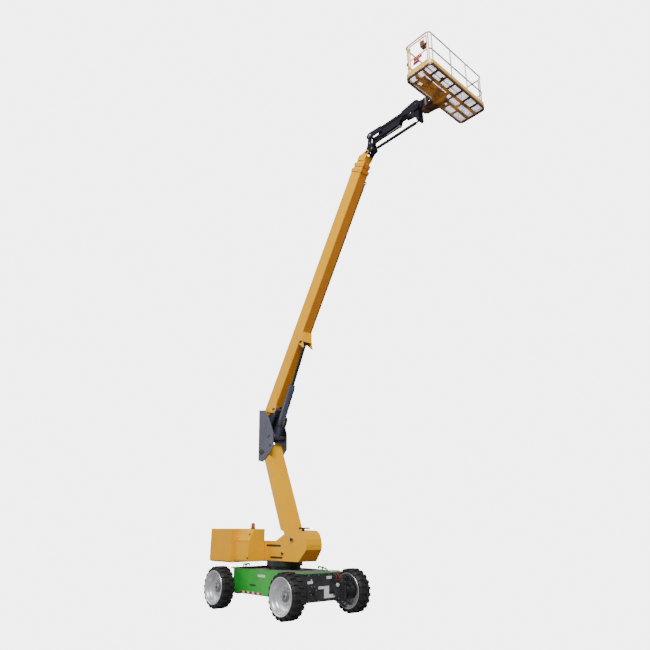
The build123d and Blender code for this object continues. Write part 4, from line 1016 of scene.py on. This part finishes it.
# %% [markdown]
# ## Doors, pull, stops and deck hooks
# Each door has two flush latches: a plate, a round barrel and a paddle. They are painted with
# the door, as on the photograph, where they hardly show. The left door, which nobody sees
# there, is guessed to have louvres. Two bent hooks stand on the deck. Plates and bars that
# are one fitting on the machine are welded in one piece here too.

# %% Door latches and louvres
door_face = 0.875
latch_z = 1.30
for hand, side_name in machine_sides:
    face = hand * door_face
    form = bmesh.new()
    for x in (-1.08, -0.60):
        slab(form, (x - 0.045, face, latch_z), (x + 0.045, face + hand * 0.005, latch_z + 0.10))
        bar(form, (x, face, latch_z + 0.07), (x, face + hand * 0.014, latch_z + 0.07), 0.014)
        slab(form, (x - 0.010, face, latch_z + 0.015),
             (x + 0.010, face + hand * 0.012, latch_z + 0.075))
    finished(form, "latches_" + side_name, "door_" + side_name, yellow_paint)
slat_row("louvres_left", "door_left", (0.34, 0.012, 0.030), (-0.84, 0.879, 1.36), (0, 0, 0.026), 6,
         yellow_paint, tilt=(math.radians(-38), 0, 0))

# %% Cover pull, cover stops and deck hooks
form = bmesh.new()
turned(form, (-0.600, -0.776, 1.901), (0, -0.886, 0.463), (
    (0.0, 0.0), (0.030, 0.0), (0.030, 0.010), (0.020, 0.018), (0.0, 0.018)), 22)
finished(form, "cover_pull", "turntable", black_steel)
form = bmesh.new()
turned(form, (-0.530, -0.8645, 1.300), (0, -1, 0), (
    (0.0, 0.0), (0.028, 0.0), (0.028, 0.016), (0.018, 0.024), (0.0, 0.024)), 22)
slab(form, (-1.150, -0.8345, 1.770), (-1.060, -0.8200, 1.800))
finished(form, "cover_stops", "turntable", brown_plastic)
hook_table = (
    # foot, bend, end
    ((-1.360, -0.420, 1.020), (-1.360, -0.420, 1.105), (-1.210, -0.320, 1.120)),
    ((1.350, 0.340, 1.020), (1.350, 0.340, 1.070), (1.230, 0.140, 1.140)),
)
form = bmesh.new()
for foot, bend, end in hook_table:
    bar(form, foot, bend, 0.014)
    bar(form, bend, end, 0.017)
    bar(form, end, Vector(end) + Vector((0, 0, -0.05)), 0.022)
finished(form, "deck_hooks", "chassis", black_steel)

# %% [markdown]
# ## Beacon
# A beacon is a ribbed, blown lens on a turned foot, with a button on top. The ribs bend the
# light, so they are cut into the profile.

# %% Beacon
beacon_foot = (-0.900, -0.470, 2.045)
form = bmesh.new()
turned(form, beacon_foot, (0, 0, 1), (
    (0.0, 0.0), (0.066, 0.0), (0.070, 0.008), (0.068, 0.030), (0.056, 0.036), (0.0, 0.036)))
turned(form, beacon_foot, (0, 0, 1), (
    (0.0, 0.154), (0.020, 0.154), (0.024, 0.158), (0.018, 0.164), (0.0, 0.165)))
finished(form, "beacon_base", "turntable", dark_plastic)
lens_profile = [(0.0, 0.030), (0.054, 0.030)]
for k in range(9):
    lens_profile += [(0.058, 0.036 + 0.012 * k), (0.054, 0.042 + 0.012 * k)]
lens_profile += [(0.048, 0.148), (0.030, 0.156), (0.0, 0.158)]
form = bmesh.new()
turned(form, beacon_foot, (0, 0, 1), lens_profile)
beacon_lens = finished(form, "beacon_lens", "turntable", amber_lens, soft_edge=0)
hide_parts("beacon")
print("turntable dressed")

# %% [markdown]
# ## Boom: collars, conduit and heel
# Places on the boom are easiest to give along it and above its underside, so a helper turns
# them into the machine's own frame. The collars where one box slides in the next hold wear
# pads, set by rows of bolts. A black conduit with clips runs along the lower far edge.

# %% Helpers along the boom
boom_turn = math.radians(59.73)
boom_along = Vector((math.cos(boom_turn), 0, math.sin(boom_turn)))
boom_up = Vector((-math.sin(boom_turn), 0, math.cos(boom_turn)))


def on_boom(along, up, y=0.0):
    """A place from its run along the boom and its height over the boom's underside."""
    return Vector((-0.950, y, 4.696)) + boom_along * along + boom_up * up


def boom_block(form, along, up, y):
    """A block between two runs along the boom, two heights and two sides."""
    outline = [on_boom(along[a], up[b], y[0]) for a, b in ((0, 0), (1, 0), (1, 1), (0, 1))]
    cut_plate(form, outline, (0, y[1] - y[0], 0))


# %% Collar pads and bolts
collar_table = (
    # body, collar's end along the boom, half width, lowest and highest up the section
    ("boom_base", 8.58, 0.174, -0.016, 0.468), ("boom_mid", 8.76, 0.154, 0.004, 0.448),
)
for body, end, half, low, high in collar_table:
    form = bmesh.new()
    for y in ((-half + 0.030, -half + 0.075), (half - 0.075, half - 0.030)):
        boom_block(form, (end - 0.004, end + 0.010), (low + 0.018, low + 0.032), y)
        boom_block(form, (end - 0.004, end + 0.010), (high - 0.032, high - 0.018), y)
    finished(form, "mouth_pads_" + body, body, pad_plastic)
    places = []
    for hand in (-1, 1):
        for up in (low + 0.08, low + 0.16, high - 0.16, high - 0.08):
            places.append((on_boom(end - 0.050, up, hand * half), Vector((0, hand, 0))))
    for y in (-half + 0.06, half - 0.06):
        places.append((on_boom(end - 0.050, low, y), -boom_up))
        places.append((on_boom(end - 0.050, high, y), boom_up))
    bolts("collar_bolts_" + body, body, places, head=0.011)

# %% Conduit with clips and its end ring
conduit_y = 0.186
conduit_up = 0.036
form = bmesh.new()
bar(form, on_boom(3.42, conduit_up, conduit_y), on_boom(8.20, conduit_up, conduit_y), 0.019)
bar(form, on_boom(3.42, conduit_up, conduit_y), on_boom(3.30, conduit_up, 0.150), 0.019)
for along in (3.60, 4.245, 4.97, 5.745, 6.50, 7.245, 8.00):
    bar(form, on_boom(along, conduit_up, conduit_y), on_boom(along + 0.04, conduit_up, conduit_y),
        0.026)
    boom_block(form, (along, along + 0.04), (0.026, 0.046), (0.156, conduit_y))
turned(form, on_boom(8.25, conduit_up, conduit_y), (0, 1, 0), (
    (0.030, -0.014), (0.052, -0.014), (0.052, 0.014), (0.030, 0.014), (0.030, -0.014)), 28)
finished(form, "boom_conduit", "boom_base", hose_rubber, soft_edge=0)

# %% Heel plugs and the pin of the cylinder's bracket
form = bmesh.new()
for hand in (-1, 1):
    turned(form, on_boom(1.143, 0.092, hand * 0.158), (0, hand, 0), (
        (0.0, 0.0), (0.030, 0.0), (0.030, 0.005), (0.022, 0.008), (0.0, 0.008)), 22)
finished(form, "heel_plugs", "boom_base", black_steel)
lift_head = on_boom(3.112, -0.110)
pin_caps("bracket_pin", "boom_base", ((lift_head.x, lift_head.z, 0.192, 0.046),))

# %% [markdown]
# ## Lift cylinder
# The big cylinder under the boom has a jacket round its barrel and a valve block at its foot.
# Two steel pipes feed its upper end, held by clips. They could be bevelled curves, but a pipe
# clipped along a barrel is straight with one short bend, so round bars are enough.

# %% Helper along the lift cylinder
lift_foot = Vector((-0.55, 0, 4.65))
lift_along = (lift_head - lift_foot).normalized()
lift_out = Vector((lift_along.z, 0, -lift_along.x))


def on_lift(along, out, y=0.0):
    """A place from its run along the lift cylinder and its distance out in front of it."""
    return lift_foot + lift_along * along + lift_out * out + Vector((0, y, 0))


# %% Jacket, valve block and pipes
form = bmesh.new()
turned(form, lift_foot, lift_along, (
    (0.078, 0.34), (0.094, 0.345), (0.100, 0.37), (0.100, 1.55), (0.094, 1.58), (0.078, 1.585)), 40)
finished(form, "lift_jacket", "lift_cylinder_barrel", slate_paint, soft_edge=0)
block_half = 0.045
block_outline = ((0.36, 0.070), (0.66, 0.070), (0.66, 0.170), (0.60, 0.215), (0.45, 0.235),
                 (0.36, 0.190))
form = bmesh.new()
cut_plate(form, [on_lift(along, out, -block_half) for along, out in block_outline],
          (0, 2 * block_half, 0))
for along in (0.41, 0.48, 0.55):
    bar(form, on_lift(along, 0.215), on_lift(along, 0.262), 0.020)
    bar(form, on_lift(along, 0.110, -block_half), on_lift(along, 0.110, -0.075), 0.020, sides=6)
finished(form, "lift_valve_block", "lift_cylinder_barrel", black_steel)
form = bmesh.new()
for y in (-0.024, 0.024):
    bar(form, on_lift(0.58, 0.116, y), on_lift(1.52, 0.116, y), 0.011)
    bar(form, on_lift(1.52, 0.116, y), on_lift(1.56, 0.080, y), 0.011)
for along in (0.78, 1.02, 1.26, 1.47):
    cut_plate(form, [on_lift(along + run, out, -block_half) for run, out in
                     ((0, 0.080), (0.035, 0.080), (0.035, 0.132), (0, 0.132))], (0, 2 * block_half, 0))
finished(form, "lift_pipes", "lift_cylinder_barrel", slate_paint)
print("boom and lift cylinder dressed")

# %% [markdown]
# ## Jib
# The jib is a box arm with a round link below it, so the platform's mount stays level. Its
# pins end in caps with keepers. Cover plates below and above the arm make it the deep beam of
# the photograph. They could be one thick box, but thin plates with bolts look like the folded
# sheet that they are. Two pipes run along the arm's side under clips.

# %% Jib pins and side pipes
jib_foot = Vector((3.690, 0, 13.110))
jib_link_foot = Vector((3.745, 0, 12.640))
jib_head = Vector((5.420, 0, 13.120))
jib_link_head = Vector((5.475, 0, 12.650))
pin_caps("jib_foot_pins", "jib_base", (
    (jib_foot.x, jib_foot.z, 0.143, 0.050), (jib_link_foot.x, jib_link_foot.z, 0.108, 0.030),
    (3.662, 12.858, 0.108, 0.026)), finish=zinc_steel)
pin_caps("jib_head_pins", "platform_head", (
    (jib_head.x, jib_head.z, 0.143, 0.050), (jib_link_head.x, jib_link_head.z, 0.108, 0.030)))
pin_caps("fly_pin", "boom_fly", ((3.560, 12.600, 0.138, 0.040),))


def on_jib(along, up, y=0.0):
    """A place from its run along the jib arm and its height over the foot pin."""
    return jib_foot + Vector((along, y, up))


form = bmesh.new()
for up in (0.030, 0.062):
    bar(form, on_jib(0.37, up, -0.092), on_jib(1.37, up, -0.092), 0.011)
for along in (0.43, 0.73, 1.03, 1.31):
    slab(form, on_jib(along, 0.008, -0.106), on_jib(along + 0.030, 0.084, -0.079))
finished(form, "jib_pipes", "jib_arm", hose_rubber, soft_edge=0)

# %% Sleeve on the link, cover plates on the arm
form = bmesh.new()
bar(form, (3.895, 0, 12.641), (5.325, 0, 12.649), 0.044, sides=32)
finished(form, "link_sleeve", "jib_link", navy_paint)
cover_y = 0.080
cover_plate = 0.014
cover_outline = ((0.31, -0.08), (0.31, -0.165), (0.44, -0.212), (1.00, -0.212), (1.12, -0.08))
form = bmesh.new()
for y in (-cover_y, cover_y - cover_plate):
    cut_plate(form, [on_jib(along, up, y) for along, up in cover_outline], (0, cover_plate, 0))
slab(form, on_jib(0.20, 0.090, -0.070), on_jib(1.34, 0.142, 0.070))
finished(form, "jib_skirts", "jib_arm", navy_paint, soft_edge=0.012)
bolts("skirt_bolts", "jib_arm", [(on_jib(along, -0.060, hand * cover_y), Vector((0, hand, 0)))
                                 for along in (0.40, 0.60, 0.80, 1.00) for hand in (-1, 1)],
      head=0.008, finish=black_steel)
bolts("rotator_bolts", "platform_head", on_circle((5.700, 0, 13.215), (0, 0, 1), 0.072, 8), head=0.010)
print("jib dressed")

# %% [markdown]
# ## Platform: grating and flanges
# The floor is open steel grating, so the sky shows through it from below. Bearing bars run
# across and thin rods hold them, each a row of slats from the same tree. The two long beams
# below carry wide flanges, which read as the broad brown lines of the photograph.

# %% Grating
floor_z = 12.937
grating = slat_row("grating_bars", "platform", (0.800, 0.003, 0.010), (6.395, -1.185, floor_z),
                   (0, 0.015, 0), 159, floor_grating)
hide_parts("platform_floor")
slat_row("grating_rods", "platform", (0.0035, 2.400, 0.005), (6.000, 0.0, floor_z + 0.001),
         (0.0395, 0, 0), 21, floor_grating)
form = bmesh.new()
slab(form, (6.600, -0.585, 12.929), (6.690, -0.465, 12.932))
finished(form, "floor_tag", "platform", red_reflector, soft_edge=0.001)

# %% Flanges under the long beams
form = bmesh.new()
for x in (6.270, 6.510):
    slab(form, (x - 0.045, -1.12, 12.868), (x + 0.045, 1.12, 12.874))
finished(form, "beam_flanges", "platform", underframe_paint)

# %% [markdown]
# ## Platform: console, gate and rails
# The console is a small folded case with a sloped face, hung on the rail, with two levers,
# small knobs and a stop button. Its outline is drawn once from the side and given its width,
# as the real one is folded from one sheet. The gate has two blank plates and a latch, and a
# taped sleeve in red and white marks the far rail.

# %% Console
case_x = 6.480
case_outline = ((-1.150, 13.660), (-1.040, 13.640), (-1.030, 13.700), (-1.075, 13.748),
                (-1.150, 13.762))
form = bmesh.new()
cut_plate(form, [(case_x, y, z) for y, z in case_outline], (0.110, 0, 0))
slab(form, (6.470, -1.162, 13.650), (6.600, -1.150, 13.846))
for x in (6.490, 6.580):
    bar(form, (x, -1.156, 13.846), (x, -1.156, 13.940), 0.008)
console = finished(form, "console_case", "platform", brown_plastic)
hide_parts("control_console")

# %% Levers, knobs and stop button
lever_profile = ((0.0, 0.0), (0.018, 0.0), (0.012, 0.014), (0.005, 0.018), (0.005, 0.052),
                 (0.013, 0.060), (0.013, 0.074), (0.0, 0.080))
form = bmesh.new()
for x in (6.500, 6.570):
    turned(form, (x, -1.105, 13.752), (0, 0, 1), lever_profile, 16)
for x in (6.485, 6.515, 6.545):
    bar(form, (x, -1.046, 13.716), (x, -1.040, 13.730), 0.006)
finished(form, "console_levers", "platform", black_steel, soft_edge=0)
form = bmesh.new()
turned(form, (6.582, -1.046, 13.716), (0, 0.7, 0.7), (
    (0.0, 0.0), (0.010, 0.0), (0.010, 0.010), (0.018, 0.012), (0.018, 0.020), (0.0, 0.024)), 20)
finished(form, "stop_button", "platform", red_reflector, soft_edge=0)

# %% Gate plates and latch
gate_outer, gate_inner = -1.196, -1.191
form = bmesh.new()
slab(form, (6.270, gate_outer, 13.300), (6.540, gate_inner, 13.385))
finished(form, "gate_plate_upper", "platform_gate", red_reflector, soft_edge=0.001)
form = bmesh.new()
slab(form, (6.250, gate_outer, 13.190), (6.440, gate_inner, 13.292))
for x in (6.290, 6.420):
    slab(form, (x, gate_inner, 13.200), (x + 0.020, gate_inner + 0.005, 13.430))
finished(form, "gate_plate_lower", "platform_gate", plum_plate, soft_edge=0.001)
latch_y, bolt_z = -1.207, 13.600
form = bmesh.new()
slab(form, (6.664, -1.216, 13.560), (6.712, -1.198, 13.640))
bar(form, (6.660, latch_y, bolt_z), (6.600, latch_y, bolt_z), 0.008)
turned(form, (6.596, latch_y, bolt_z), (-1, 0, 0), (
    (0.0, 0.0), (0.014, 0.0), (0.014, 0.018), (0.0, 0.022)), 16)
finished(form, "gate_latch", "platform_gate", black_steel)

# %% Rail sleeves and post bolts
sleeve_table = (
    # name, low x, high x, finish
    ("rail_sleeve_white", 6.310, 6.480, white_plate), ("rail_sleeve_red", 6.482, 6.620, red_reflector),
)
for name, low_x, high_x, finish in sleeve_table:
    form = bmesh.new()
    bar(form, (low_x, 1.187, 13.963), (high_x, 1.187, 13.963), 0.0215)
    finished(form, name, "platform", finish, soft_edge=0)
places = []
for z in (12.975, 13.030):
    for face_x, out, posts in ((5.980, -1, (-1.085, 1.085, -0.35, 0.35)),
                               (6.810, 1, (-1.085, 1.085, -0.29, 0.40))):
        places += [(Vector((face_x, y, z)), Vector((out, 0, 0))) for y in posts]
    places += [(Vector((x, 1.215, z)), Vector((0, 1, 0))) for x in (6.110, 6.680)]
bolts("post_bolts", "platform", places, head=0.008)
print("platform dressed")

# %% [markdown]
# ## End

# %% Finish
import json
